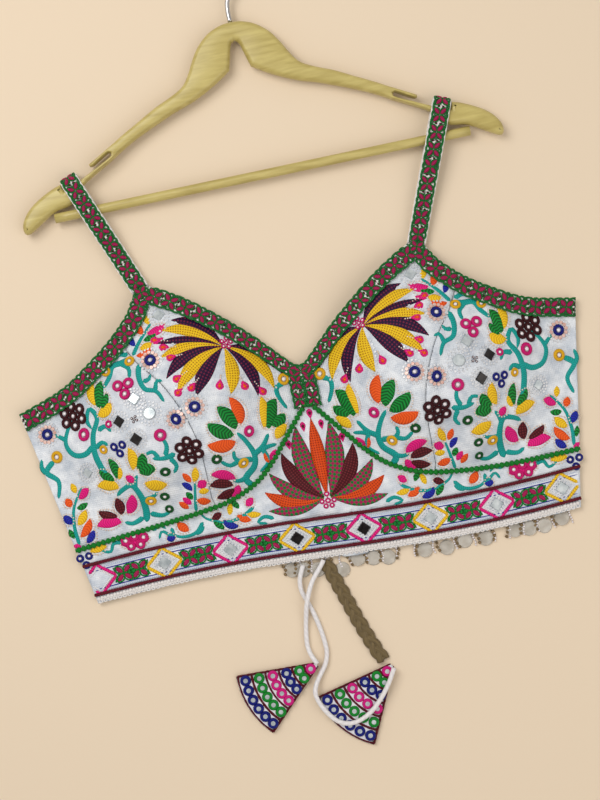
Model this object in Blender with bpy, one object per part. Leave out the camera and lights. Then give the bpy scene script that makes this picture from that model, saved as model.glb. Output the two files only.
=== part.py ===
"""Choli blouse with padded cups, laid flat on a table, its straps over a wooden hanger.

X runs to the right as the front is seen, Y from hem to neck and Z up from the table. Sizes and tables are in
millimetres, with x from the centre front and y from the hem; placed() turns them into metres about the middle
of the whole box. The front is one height field, dome(), that every piece of the front is laid on.
"""

import math

import bpy
import numpy as np
from mathutils.geometry import delaunay_2d_cdt

# The whole
MIDDLE_Y = 252.464  # from the hem to the middle of the whole box
SWAY = 5.0  # the blouse lies this much higher on one side and lower on the other
SWAY_LENGTH = 240.0  # x at which the sway has died away

# Cloth
BACK_CLOTH = 2.0
FRONT_CLOTH = 2.5  # padded and embroidered
LAY_GAP = 0.3  # between layers that lie on each other
SEAM_GAP = 0.4  # between panels that are sewn edge to edge
TRIM_GAP = 0.9  # under what is sewn on top of a panel
TRIM = 1.2  # thickness of braid and cord sewn on top
FRONT_TOP = BACK_CLOTH + LAY_GAP + FRONT_CLOTH

# Cups: height over the midriff, apex, and how far each reaches from its apex
CUP_HEIGHT = 42.0
CUP_X, CUP_Y = 97.0, 130.0
CUP_INWARD, CUP_OUTWARD, CUP_UP, CUP_DOWN = 88.0, 120.0, 125.0, 82.0
CUP_FULLNESS = 1.5

# Outline of the right half of the front
HEM_HALF = 203.0
SIDE_TOP = (234.0, 167.5)
BAND_TOP = 33.0
BAND_CORD_Y = 7.5
BAND_CORD = 2.8
PICOT = 6.0
NECK_DIP = (0.3, 160.0)
GORE_TOP = (0.3, 130.0)
PEAK_IN = (108.2, 245.5)
PEAK_OUT = (121.8, 240.5)
PEAK_MITRE = (112.5, 231.0)  # where the two edge braids meet below the strap
NECK = [PEAK_IN, (81, 229), (56, 210), (34, 191), (17, 174), (6, 163), NECK_DIP]  # (x, y)
ARMHOLE = [PEAK_OUT, (129, 226), (146, 209), (167, 194), (194, 179), SIDE_TOP]  # (x, y)
UNDERBUST = [GORE_TOP, (12, 117), (23, 103), (37, 86), (53, 71), (75, 60), (100, 54.5), (145, 50),
             (212, 47)]  # (x, y)
PRINCESS = [(142, 212), (131, 188), (110, 160), (96, 127), (92, 100), (93, 55.7)]  # (x, y)
BACK_TOP = [(0.3, 148), (45, 153), (90, 157.5), (150, 163), (233, 166.5)]  # (x, y)
EDGE_BRAID = 14.5  # width
NECK_BRAID_END = 10.0  # width of the neck braid at the centre
CENTRE_BRAID_HALF = 11.0
CENTRE_BRAID_POINT = (0, 158)
CENTRE_BRAID_SHOULDER_Y = 151.5
CENTRE_BRAID_FOOT_Y = 126.0
CENTRE_BRAID_CORNER = 3.0  # of each foot, cut off to follow the seams
CENTRE_BRAID_NOTCH = (0, 132.5)
NECK_BRAID_TIP = (0.6, 159.5)
NECK_BRAID_FOOT = (CENTRE_BRAID_HALF + 0.5, 153)
CUP_CORD = 3.0  # width of the green cord under each cup

# Straps and hanger
STRAP_WIDTH = 14.5
STRAP = 2.0
STRAP_FOOT = (115.0, 243.0)
STRAP_RISE_LENGTH = 34.0  # from the strap's foot to where it has come up off the cup
STRAP_RISE_DROP = 7.4  # there, below its level on the hanger
STRAP_EASE_LENGTH = 45.0  # before the turn, where the strap is still falling to the cup
STRAP_EASE_DROP = 2.2
STRAP_FLAT_LENGTH = 22.0  # before the turn, where it is level
STRAP_REACH = 154.5  # of each strap from the hanger's middle, where it goes over the arm
STRAP_TURN_Y = 343.2
STRAP_END_CLEAR = 3.5  # between the strap's back end and the edge that it is sewn to, at its middle
HANGER_X = 3.0
HANGER_THICK = 12.0
HANGER_LOW = BACK_CLOTH + LAY_GAP
# Right half of the hanger: the top edge outwards, then the underside inwards (x from its middle, y)
HANGER_TOP = [(0, 448), (9, 447), (20, 442.5), (30, 434), (37, 424), (43, 413), (50, 404), (62, 397.5),
              (75, 392)]
HANGER_ARM = [(90, 384), (107, 375), (124, 365), (149, 351.5), (147.2, 346.2), (161.8, 340.9), (163.8, 346.5)]
HANGER_TIP = [(174, 343), (188, 335.5), (197, 327.5), (201.5, 319), (201, 312.5), (197, 311.5)]
HANGER_UNDER = [(188, 316.5), (173, 325), (157, 329), (146, 341.5), (119, 357), (96, 369.5), (63, 383.5),
                (44, 390)]
HANGER_NOTCH = [(25, 399), (9, 409), (6.5, 418), (4.2, 427), (2.4, 431), (0, 432.3)]
BAR_Y = 320.0
BAR_REACH = 174.3
BAR_RADIUS = 4.0
HOOK_WIRE = 4.0
# The hook's wire (x from the hanger's middle, y)
HOOK = [(0, 448.4), (0, 458), (2, 467), (10, 476), (20, 486), (24, 500), (20, 513), (8, 521), (-6, 520),
        (-16, 511), (-19, 499)]

# What hangs from the hem
FRINGE_LEFT, FRINGE_RIGHT = -46.0, 200.0
FRINGE_DROP = 13.0
FRINGE = 1.8
TIE = 4.2  # diameter of the satin cords
# The cords' routes (x, y, height of the middle)
TIE_LEFT = [(-13.8, -0.8, 4.4), (-17.5, -5.5, 4.4), (-22, -10.5, 4.4), (-26.5, -16, 4.6), (-30.3, -22.5, 6.0),
            (-33.2, -29, 7.2), (-35.5, -35, 6.8), (-37.5, -43, 4.4), (-39.5, -52, 2.5), (-41, -61, 2.3),
            (-41.5, -68, 2.5), (-40.5, -74, 4.7), (-38.5, -79, 7), (-36.5, -83, 7.5)]
TIE_RIGHT = [(-31.2, -1.6, 4.4), (-34.6, -8, 4.4), (-36.8, -15, 3.8), (-36.8, -23, 2.5), (-34.2, -31, 2.2),
             (-31, -42, 2.2), (-28.5, -54, 2.2), (-27, -66, 2.2), (-27, -76, 2.2), (-30, -85, 2.4),
             (-36, -93, 3.2), (-41, -100, 5.8), (-43.2, -107, 7.5), (-41.5, -115, 7.5), (-37, -124, 7.5),
             (-30, -132.5, 7.5), (-21, -136.5, 7.5), (-11, -135.5, 7.5), (-1, -130.5, 7.5), (9, -121.5, 7.5),
             (17.5, -111, 7.5), (24.5, -99.5, 7.5)]
PLAIT_WIDTH = 12.6
PLAIT = 4.0
PLAIT_LINE = [(-8.6, -16), (-3.5, -32), (2, -50), (8, -68), (14.5, -85), (17.5, -92)]  # (x, y)
TASSEL = 5.0
TASSEL_RADIUS = 71.0
TASSEL_TIP = 3.0  # radius at which the fan's point is cut off
# One row for each tassel: name, apex x and y, direction and spread in degrees
TASSELS = [("tassel_left", -34.5, -83.2, 201.0, 48.0), ("tassel_right", 25.5, -96.0, 218.5, 53.0)]

SAME_POINT = 0.05  # points nearer than this are one point
SHARPEST_CORNER = 0.4  # least squared length of two edges' added normals, so that no corner runs far out
GRID_CLEAR = 0.55  # of a step, between a panel's inner points and its outline
ROW_SHARE = 0.87  # of a step, between the rows of a triangle grid

# Mesh spacing
CUP_STEP = 9.0
FLAT_STEP = 16.0
BACK_STEP = 26.0
EDGE_STEP = 8.0
CORD_SPACING = 2.5  # points on a cord, in diameters

# Finishes: sRGB red, green and blue, roughness and metallic value
FINISHES = {
    "cotton": (0.88, 0.91, 0.93, 0.85, 0.0),
    "braid": (0.55, 0.08, 0.32, 0.8, 0.0),
    "green cord": (0.06, 0.40, 0.14, 0.7, 0.0),
    "maroon cord": (0.30, 0.04, 0.09, 0.7, 0.0),
    "picot": (0.93, 0.92, 0.93, 0.85, 0.0),
    "discs and pearls": (0.62, 0.58, 0.50, 0.5, 0.0),
    "satin cord": (0.83, 0.82, 0.83, 0.4, 0.0),
    "plait": (0.55, 0.49, 0.35, 0.75, 0.0),
    "tassel cloth": (0.86, 0.87, 0.92, 0.8, 0.0),
    "varnished wood": (0.72, 0.66, 0.37, 0.4, 0.0),
    "steel": (0.75, 0.75, 0.76, 0.3, 1.0),
}

for leftover in list(bpy.data.objects):
    bpy.data.objects.remove(leftover, do_unlink=True)


def sway(x):
    return SWAY * math.sin(math.pi * x / SWAY_LENGTH)


def dome(x, y):
    """Height of the cups over the midriff."""
    across = abs(x) - CUP_X
    along = y - CUP_Y
    u = across / (CUP_OUTWARD if across > 0 else CUP_INWARD)
    v = along / (CUP_UP if along > 0 else CUP_DOWN)
    return CUP_HEIGHT * max(0.0, 1 - u * u - v * v) ** CUP_FULLNESS


def on_front(x, y, lift):
    """A point of the front's outer face, moved out by lift."""
    return x, y - sway(x), FRONT_TOP + dome(x, y) + lift


def on_back(x, y, lift):
    """A point of the back, lift above the table."""
    return x, y - sway(x), lift


def on_table(x, y, lift):
    """A point of what lies straight on the table."""
    return x, y, lift


def placed(points):
    """Millimetres from the hem to metres in the part's frame."""
    return [(x / 1000, (y - MIDDLE_Y) / 1000, z / 1000) for x, y, z in points]


def finished(obj, finish):
    red, green, blue, rough, metal = FINISHES[finish]
    material = bpy.data.materials.new(obj.name)
    material.use_nodes = True
    shader = material.node_tree.nodes["Principled BSDF"]
    shader.inputs["Base Color"].default_value = (red**2.2, green**2.2, blue**2.2, 1)
    shader.inputs["Roughness"].default_value = rough
    shader.inputs["Metallic"].default_value = metal
    obj.data.materials.append(material)
    bpy.context.scene.collection.objects.link(obj)
    return obj


def mesh_object(name, points, faces, finish):
    mesh = bpy.data.meshes.new(name)
    mesh.from_pydata(placed(points), [], faces)
    return finished(bpy.data.objects.new(name, mesh), finish)


def smooth(points, step):
    """Points about step apart on a smooth curve through the given ones."""
    p = np.array(points, float)
    p = np.vstack([2 * p[0] - p[1], p, 2 * p[-1] - p[-2]])
    t = np.linspace(0, 1, 24, endpoint=False)[:, None]
    fine = []
    for a, b, c, d in zip(p, p[1:], p[2:], p[3:]):
        curve = t * (c - a) + t**2 * (2 * a - 5 * b + 4 * c - d) + t**3 * (3 * b - a - 3 * c + d)
        fine.append(b + curve / 2)
    return even(np.vstack([*fine, p[-2]]), step)


def even(line, step):
    """The line again, with its points about step apart."""
    line = np.array(line, float)
    along = np.concatenate([[0], np.cumsum(np.linalg.norm(np.diff(line, axis=0), axis=1))])
    at = np.linspace(0, along[-1], max(2, round(along[-1] / step) + 1))
    return np.stack([np.interp(at, along, line[:, k]) for k in range(line.shape[1])], axis=1)


def joined(*lines):
    """One closed outline from lines that follow each other, without doubled points."""
    points = np.vstack([np.array(line, float) for line in lines])
    keep = np.linalg.norm(points - np.roll(points, 1, axis=0), axis=1) > SAME_POINT
    return points[keep]


def divided(outline, step):
    """A closed outline with its long edges divided."""
    points = []
    for a, b in zip(outline, np.roll(outline, -1, axis=0)):
        points += list(np.linspace(a, b, max(1, math.ceil(math.dist(a, b) / step)), endpoint=False))
    return np.array(points)


def side_of(line, side):
    """A line of the right half, or its mirror image for side -1."""
    return np.array(line, float) * (side, 1)


def moved_in(outline, distance):
    """A closed outline with each edge moved inwards."""
    p = np.array(outline, float)
    turn = p[:, 0] * np.roll(p[:, 1], -1) - np.roll(p[:, 0], -1) * p[:, 1]
    if turn.sum() < 0:
        p = p[::-1]
    ahead = np.roll(p, -1, axis=0) - p
    ahead /= np.linalg.norm(ahead, axis=1)[:, None]
    normal = np.stack([-ahead[:, 1], ahead[:, 0]], axis=1)
    both = normal + np.roll(normal, 1, axis=0)
    size = np.maximum((both**2).sum(1), SHARPEST_CORNER)[:, None]
    return p + 2 * distance * both / size


def beside(line, distances):
    """A line moved to its left by a distance for each point."""
    line = np.array(line, float)
    ahead = np.gradient(line, axis=0)
    ahead /= np.linalg.norm(ahead, axis=1)[:, None]
    return line + np.stack([-ahead[:, 1], ahead[:, 0]], axis=1) * np.array(distances, float).reshape(-1, 1)


def wall(name, points, faces, surface, low, high, finish):
    """A closed wall between two lifts over a surface, from the faces of its top."""
    n = len(points)
    top = [surface(x, y, high) for x, y in points]
    bottom = [surface(x, y, low) for x, y in points]
    edges = {(a, b) for face in faces for a, b in zip(face, face[1:] + face[:1])}
    rim = [(a, a + n, b + n, b) for a, b in sorted(edges) if (b, a) not in edges]
    under = [tuple(i + n for i in reversed(face)) for face in faces]
    return mesh_object(name, top + bottom, [tuple(f) for f in faces] + under + rim, finish)


def panel(name, outline, step, surface, low, high, finish):
    """A cut piece of cloth: its outline filled with triangles about step long."""
    outline = divided(moved_in(outline, SEAM_GAP / 2), step)
    low_corner, high_corner = outline.min(0), outline.max(0)
    rows = np.arange(low_corner[1] + step / 2, high_corner[1], step * ROW_SHARE)
    columns = np.arange(low_corner[0], high_corner[0], step)
    grid = [(x + step / 2 * (k % 2), y) for k, y in enumerate(rows) for x in columns]
    grid = np.array(grid).reshape(-1, 2)
    a, b = outline, np.roll(outline, -1, axis=0)
    if len(grid):
        span = b - a
        share = ((grid[:, None] - a) * span).sum(2) / (span**2).sum(1)
        near = a + np.clip(share, 0, 1)[:, :, None] * span
        far = np.linalg.norm(grid[:, None] - near, axis=2).min(1)
        above = (a[:, 1] > grid[:, 1:]) != (b[:, 1] > grid[:, 1:])
        with np.errstate(divide="ignore", invalid="ignore"):
            cross = a[:, 0] + (grid[:, 1:] - a[:, 1]) * span[:, 0] / span[:, 1]
        inside = (above & (grid[:, :1] < cross)).sum(1) % 2 == 1
        grid = grid[inside & (far > step * GRID_CLEAR)]
    points = [tuple(p) for p in outline] + [tuple(p) for p in grid]
    made = delaunay_2d_cdt(points, [], [list(range(len(outline)))], 1, 1e-6)
    return wall(name, [tuple(p) for p in made[0]], [list(f) for f in made[2]], surface, low, high, finish)


def band(name, left_line, right_line, surface, low, high, finish):
    """A strip between two lines with the same number of points."""
    n = len(left_line)
    points = [tuple(p) for p in left_line] + [tuple(p) for p in right_line]
    faces = [[i + n, i + n + 1, i + 1, i] for i in range(n - 1)]
    return wall(name, points, faces, surface, low, high, finish)


def trim(name, line, width, surface, finish, low=TRIM_GAP, high=TRIM_GAP + TRIM):
    """A strip of even width along a line."""
    half = np.full(len(line), width / 2)
    return band(name, beside(line, half), beside(line, -half), surface, low, high, finish)


def cord(name, route, diameter, finish):
    """A round cord: a curve with a point every few diameters."""
    points = placed(smooth(route, CORD_SPACING * diameter))
    curve = bpy.data.curves.new(name, "CURVE")
    curve.dimensions = "3D"
    curve.bevel_depth = diameter / 2000
    curve.bevel_resolution = 2
    curve.use_fill_caps = True
    spline = curve.splines.new("POLY")
    spline.points.add(len(points) - 1)
    for made, point in zip(spline.points, points):
        made.co = (*point, 1)
    return finished(bpy.data.objects.new(name, curve), finish)


def side_name(side):
    return "left" if side < 0 else "right"


# --- the front ------------------------------------------------------------


def cups(side):
    neck = side_of(smooth(NECK, EDGE_STEP), side)
    armhole = side_of(smooth(ARMHOLE, EDGE_STEP), side)
    under = side_of(smooth(UNDERBUST, EDGE_STEP), side)
    princess = side_of(smooth(PRINCESS, EDGE_STEP), side)
    # The princess seam divides the armhole and the seam under the cup at these points.
    at_arm = int(np.abs(armhole[:, 0] - princess[0, 0]).argmin())
    at_under = int(np.abs(under[:, 0] - princess[-1, 0]).argmin())
    princess = np.vstack([armhole[at_arm], princess[1:-1], under[at_under]])
    side_seam = side_of(even([SIDE_TOP, UNDERBUST[-1]], EDGE_STEP), side)
    inner = joined(neck[::-1], armhole[: at_arm + 1], princess, under[at_under::-1])
    outer = joined(armhole[at_arm:], side_seam, under[: at_under - 1 : -1], princess[::-1])
    low = -FRONT_CLOTH
    panel(f"cup_inner_{side_name(side)}", inner, CUP_STEP, on_front, low, 0, "cotton")
    panel(f"cup_outer_{side_name(side)}", outer, CUP_STEP, on_front, low, 0, "cotton")


def side_x(y):
    """x of the side seam at a height."""
    return HEM_HALF + (SIDE_TOP[0] - HEM_HALF) * y / SIDE_TOP[1]


def midriff_and_band():
    under = smooth(UNDERBUST, EDGE_STEP)
    low = -FRONT_CLOTH
    under[-1] = (side_x(under[-1][1]), under[-1][1])
    foot = even([(side_x(BAND_TOP), BAND_TOP), (-side_x(BAND_TOP), BAND_TOP)], EDGE_STEP)
    outline = joined(side_of(under[::-1], -1), under, foot)
    panel("midriff", outline, FLAT_STEP, on_front, low, 0, "cotton")
    corners = [(HEM_HALF, 0), (side_x(BAND_TOP), BAND_TOP), (-side_x(BAND_TOP), BAND_TOP), (-HEM_HALF, 0)]
    hem = even([corners[3], corners[0]], FLAT_STEP)
    top = even([corners[1], corners[2]], FLAT_STEP)
    panel("waistband", joined(hem, top), FLAT_STEP, on_front, low, 0, "cotton")


def back(side):
    top = side_of(smooth(BACK_TOP, EDGE_STEP * 2), side)
    seam = side_of(even([BACK_TOP[-1], (HEM_HALF, 0.5)], BACK_STEP), side)
    hem = side_of(even([(HEM_HALF, 0.5), (0.3, 0.5)], EDGE_STEP * 2), side)
    panel(f"back_{side_name(side)}", joined(top, seam, hem), BACK_STEP, on_back, 0, BACK_CLOTH, "cotton")


# --- braid and cords on the front -----------------------------------------


def edge_braids(side):
    neck = smooth(NECK, EDGE_STEP)
    narrowing = np.linspace(EDGE_BRAID, NECK_BRAID_END, len(neck))
    inner = beside(neck, narrowing)
    inner = inner[(inner[:, 1] < PEAK_MITRE[1]) & (inner[:, 0] > CENTRE_BRAID_HALF + 1)]
    ends = [NECK_BRAID_TIP, NECK_BRAID_FOOT]
    outline = joined([STRAP_FOOT], neck[:-1], ends, inner[::-1], [PEAK_MITRE])
    low, high = TRIM_GAP, TRIM_GAP + TRIM
    panel(f"neck_border_{side_name(side)}", side_of(outline, side), CUP_STEP, on_front, low, high, "braid")
    armhole = smooth(ARMHOLE, EDGE_STEP)
    inner = beside(armhole, np.full(len(armhole), -EDGE_BRAID))
    inner = inner[inner[:, 1] < PEAK_MITRE[1] - 2]
    end = (side_x(SIDE_TOP[1] - EDGE_BRAID), SIDE_TOP[1] - EDGE_BRAID)
    inner[-1] = end
    outline = joined([STRAP_FOOT], armhole, inner[::-1], [PEAK_MITRE])
    panel(f"armhole_border_{side_name(side)}", side_of(outline, side), CUP_STEP, on_front, low, high, "braid")


def centre_braid():
    half, corner = CENTRE_BRAID_HALF, CENTRE_BRAID_CORNER
    foot = [(half, CENTRE_BRAID_FOOT_Y), (half - corner, CENTRE_BRAID_FOOT_Y - corner + 0.5)]
    right = [*foot[::-1], (half, CENTRE_BRAID_SHOULDER_Y)]
    left = [(-x, y) for x, y in right[::-1]]
    outline = [CENTRE_BRAID_POINT, *left, CENTRE_BRAID_NOTCH, *right]
    panel("centre_border", outline, CUP_STEP, on_front, TRIM_GAP, TRIM_GAP + TRIM, "braid")


def cords_on_front():
    for side in (-1, 1):
        line = smooth([(8, 121), *UNDERBUST[2:]], EDGE_STEP)
        trim(f"cup_cord_{side_name(side)}", side_of(line, side)[::side], CUP_CORD, on_front, "green cord")
    for name, y in (("band_cord_top", BAND_TOP), ("band_cord_bottom", BAND_CORD_Y)):
        line = even([(-side_x(y), y), (side_x(y), y)], EDGE_STEP * 2)
        trim(name, line, BAND_CORD, on_front, "maroon cord")
    middle = PICOT / 2 - 0.2
    line = even([(-HEM_HALF, middle), (HEM_HALF, middle)], EDGE_STEP * 2)
    trim("hem_edging", line, PICOT - 0.4, on_front, "picot")


# --- straps ---------------------------------------------------------------


def strap(side):
    """A ribbon from the cup's peak, over the hanger's arm and down the back."""
    foot = np.array(on_front(side * STRAP_FOOT[0], STRAP_FOOT[1], 0)[:2])
    turn = np.array([HANGER_X + side * STRAP_REACH, STRAP_TURN_Y])
    along = (turn - foot) / np.linalg.norm(turn - foot)
    across = np.array([along[1], -along[0]]) * STRAP_WIDTH / 2
    length = float(np.linalg.norm(turn - foot))
    back_top = on_back(side * BACK_TOP[2][0], BACK_TOP[2][1], 0)[1]
    back_end = -(foot[1] - back_top - STRAP_END_CLEAR) / along[1]
    low = STRAP / 2
    high = HANGER_LOW + HANGER_THICK + LAY_GAP + STRAP / 2
    radius = (high - low) / 2
    path = [(back_end, low), (0, low), (length, low)]
    for degrees in range(-60, 61, 30):
        bend = math.radians(degrees)
        path.append((length + radius * math.cos(bend), low + radius + radius * math.sin(bend)))
    foot_height = FRONT_TOP + dome(*STRAP_FOOT) - FRONT_CLOTH / 2
    path += [(length, high), (length - STRAP_FLAT_LENGTH, high)]
    path += [(length - STRAP_EASE_LENGTH, high - STRAP_EASE_DROP)]
    path += [(STRAP_RISE_LENGTH, high - STRAP_RISE_DROP), (SEAM_GAP, foot_height)]
    path = np.array(path)
    tangent = np.gradient(path, axis=0)
    tangent /= np.linalg.norm(tangent, axis=1)[:, None]
    points = []
    for (s, z), (ds, dz) in zip(path, tangent):
        for w, n in ((1, 1), (-1, 1), (-1, -1), (1, -1)):
            x, y = foot + along * (s - n * dz * STRAP / 2) + across * w
            points.append((x, y, z + n * ds * STRAP / 2))
    faces = [(0, 1, 2, 3)]
    for i in range(0, len(points) - 4, 4):
        faces += [(i + k, i + (k + 1) % 4, i + 4 + (k + 1) % 4, i + 4 + k)[::-1] for k in range(4)]
    last = len(points) - 4
    faces.append((last + 3, last + 2, last + 1, last))
    mesh_object(f"strap_{side_name(side)}", points, faces, "braid")


# --- the hanger -----------------------------------------------------------


def hanger():
    half = HANGER_TOP + HANGER_ARM + HANGER_TIP + HANGER_UNDER + HANGER_NOTCH
    right = [(HANGER_X + x, y) for x, y in half]
    left = [(HANGER_X - x, y) for x, y in half[-2:0:-1]]
    outline = right + left
    faces = [list(face) for face in delaunay_2d_cdt(outline, [], [list(range(len(outline)))], 1, 1e-6)[2]]
    wall("hanger_body", outline, faces, on_table, HANGER_LOW, HANGER_LOW + HANGER_THICK, "varnished wood")
    middle = HANGER_LOW + HANGER_THICK / 2
    ends = [(HANGER_X + reach, BAR_Y, middle) for reach in (-BAR_REACH, 0, BAR_REACH)]
    bar = cord("hanger_bar", ends, BAR_RADIUS * 2, "varnished wood")
    bar.data.bevel_resolution = 3
    cord("hanger_hook", [(HANGER_X + x, y, middle) for x, y in HOOK], HOOK_WIRE, "steel")


# --- what hangs from the hem ----------------------------------------------


def fringe():
    middle = -FRINGE_DROP / 2 - 0.2
    line = even([(FRINGE_LEFT, middle), (FRINGE_RIGHT, middle)], EDGE_STEP * 2)
    trim("hem_fringe", line, FRINGE_DROP, on_back, "discs and pearls", 0, FRINGE)


def ties():
    cord("tie_left", TIE_LEFT, TIE, "satin cord")
    cord("tie_right", TIE_RIGHT, TIE, "satin cord")
    trim("plait", smooth(PLAIT_LINE, EDGE_STEP), PLAIT_WIDTH, on_table, "plait", 0, PLAIT)


def tassels():
    for name, apex_x, apex_y, direction, spread in TASSELS:
        outline = []
        for radius, turns in ((TASSEL_TIP, (-0.5, 0.5)), (TASSEL_RADIUS, np.linspace(0.5, -0.5, 9))):
            for turn in turns:
                angle = math.radians(direction + turn * spread)
                outline.append((apex_x + radius * math.cos(angle), apex_y + radius * math.sin(angle)))
        panel(name, outline, FLAT_STEP, on_table, 0, TASSEL, "tassel cloth")


for side in (-1, 1):
    cups(side)
    back(side)
    edge_braids(side)
    strap(side)
midriff_and_band()
centre_braid()
cords_on_front()
hanger()
fringe()
ties()
tassels()
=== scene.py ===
import math

import bmesh
import bpy
import numpy as np
from mathutils.geometry import delaunay_2d_cdt
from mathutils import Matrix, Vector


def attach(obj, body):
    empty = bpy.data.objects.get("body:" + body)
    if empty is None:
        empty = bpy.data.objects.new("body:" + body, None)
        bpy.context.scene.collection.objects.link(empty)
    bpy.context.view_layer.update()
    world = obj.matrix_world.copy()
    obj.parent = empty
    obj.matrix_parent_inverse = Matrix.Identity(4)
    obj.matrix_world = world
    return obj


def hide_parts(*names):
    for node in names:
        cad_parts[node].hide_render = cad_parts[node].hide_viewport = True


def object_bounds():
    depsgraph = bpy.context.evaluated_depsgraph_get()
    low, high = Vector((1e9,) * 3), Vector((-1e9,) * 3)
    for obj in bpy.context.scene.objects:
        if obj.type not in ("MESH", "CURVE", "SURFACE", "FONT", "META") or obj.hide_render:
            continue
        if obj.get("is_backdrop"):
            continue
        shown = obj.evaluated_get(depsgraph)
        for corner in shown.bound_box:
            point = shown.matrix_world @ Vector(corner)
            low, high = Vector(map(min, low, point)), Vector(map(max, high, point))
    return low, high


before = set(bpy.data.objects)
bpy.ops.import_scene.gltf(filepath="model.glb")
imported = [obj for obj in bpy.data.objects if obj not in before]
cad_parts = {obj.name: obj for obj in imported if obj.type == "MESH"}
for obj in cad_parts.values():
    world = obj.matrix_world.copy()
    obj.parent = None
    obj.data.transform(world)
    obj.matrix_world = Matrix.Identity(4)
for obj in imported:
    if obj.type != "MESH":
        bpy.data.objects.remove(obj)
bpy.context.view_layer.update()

# ---------------------------------------------------------------- the studio
# A sheet of beige paper seen from straight above, turned a little, under one broad soft lamp from the upper
# left and a weaker one from the lower right. Flat mirrors show the room straight overhead, which is darker.
CAMERA_PLACE, CAMERA_TURN, LENS = (-0.0054, -0.1202, 1.412), -12, 76.8  # metres, degrees and millimetres
FLOOR_REACH, FLOOR_Z = 3, -0.0002
# Each lamp's name, place in metres, width in metres, power in watts and colour
LAMPS = [
    ("window lamp", (-0.62, 0.6, 1.4), 1.0, 15.5, "#FFFBF6"),
    ("fill lamp", (0.8, -0.75, 1.3), 1.6, 8.8, "#FFF8F0"),
]


def sRGB(code):
    """A hex colour as linear red, green, blue and alpha."""
    shares = [int(code[k : k + 2], 16) / 255 for k in (1, 3, 5)]
    return (*[c / 12.92 if c <= 0.04045 else ((c + 0.055) / 1.055) ** 2.4 for c in shares], 1.0)


def put(tree, kind, inputs=None, **settings):
    """Adds a node with its settings and its inputs, each a value or the socket that it is linked from."""
    made = tree.nodes.new(kind)
    for name, value in settings.items():
        setattr(made, name, value)
    for socket, value in (inputs or {}).items():
        if isinstance(value, bpy.types.NodeSocket):
            tree.links.new(value, made.inputs[socket])
        else:
            made.inputs[socket].default_value = value
    return made


def spread_ramp(node, low_at, low, high_at, high):
    """Sets the two ends of a colour ramp, each a place and a hex colour."""
    for end, at, code in zip(node.color_ramp.elements, (low_at, high_at), (low, high)):
        end.position = at
        end.color = sRGB(code)


def dyed(name, code, roughness, **sockets):
    """A new material with one Principled shader: its tree and shader too."""
    made = bpy.data.materials.new(name)
    made.use_nodes = True
    shader = made.node_tree.nodes["Principled BSDF"]
    shader.inputs["Base Color"].default_value = sRGB(code)
    shader.inputs["Roughness"].default_value = roughness
    for socket, value in sockets.items():
        shader.inputs[socket.replace("_", " ")].default_value = value
    return made, made.node_tree, shader


camera = bpy.data.objects.new("camera", bpy.data.cameras.new("camera"))
camera.data.lens = LENS
camera.location = CAMERA_PLACE
camera.rotation_euler = (0, 0, math.radians(CAMERA_TURN))
bpy.context.scene.collection.objects.link(camera)
bpy.context.scene.camera = camera

for lamp_name, place, size, watts, tint in LAMPS:
    lamp = bpy.data.objects.new(lamp_name, bpy.data.lights.new(lamp_name, "AREA"))
    lamp.data.size = size
    lamp.data.energy = watts
    lamp.data.color = sRGB(tint)[:3]
    lamp.location = place
    aim = -lamp.location
    lamp.rotation_euler = aim.to_track_quat("-Z", "Y").to_euler()
    bpy.context.scene.collection.objects.link(lamp)

room = bpy.data.worlds.new("room")
room.use_nodes = True
bpy.context.scene.world = room
bpy.context.scene.view_settings.view_transform = "Standard"
sky = room.node_tree
upward = put(sky, "ShaderNodeTexCoord").outputs["Generated"]
height_up = put(sky, "ShaderNodeSeparateXYZ", {"Vector": upward})
shade = put(sky, "ShaderNodeValToRGB", {"Fac": height_up.outputs["Z"]})
spread_ramp(shade, 0.90, "#F2EEE8", 0.985, "#5A5652")
sky.nodes["Background"].inputs["Strength"].default_value = 0.55
sky.links.new(shade.outputs["Color"], sky.nodes["Background"].inputs["Color"])

# Uncoated paper: matte, with a faint tooth that is drawn 3 mm wide so that it shows.
paper, tree, shader = dyed("beige card", "#E4D3BC", 0.9, Specular_IOR_Level=0.2)
where = put(tree, "ShaderNodeTexCoord").outputs["Object"]
tooth = put(tree, "ShaderNodeTexNoise", {"Vector": where, "Scale": 330.0, "Detail": 3.0})
lift = put(tree, "ShaderNodeBump", {"Height": tooth.outputs["Fac"], "Strength": 0.08, "Distance": 0.0005})
tree.links.new(lift.outputs["Normal"], shader.inputs["Normal"])
floor_corners = [(FLOOR_REACH * x, FLOOR_REACH * y, FLOOR_Z) for x, y in ((-1, -1), (1, -1), (1, 1), (-1, 1))]
floor_mesh = bpy.data.meshes.new("floor")
floor_mesh.from_pydata(floor_corners, [], [(0, 1, 2, 3)])
floor_mesh.materials.append(paper)
floor = bpy.data.objects.new("floor", floor_mesh)
bpy.context.scene.collection.objects.link(floor)
floor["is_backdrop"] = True

# ---------------------------------------------------------------- satin ties
# Two thin rouleau cords, bias satin stitched into a tube over a soft core, sewn in at the hem of the back.
# They lie in loose curves on the table and each ends in the point of a tassel.
# Sizes are in millimetres, and places are measured from the middle of the hem.
MIDDLE_Y = 252.464  # from the hem to the middle of the whole object
TIE = 4.2  # diameter
TIE_STEP = 2.0  # between the points of a tie's line
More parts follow.
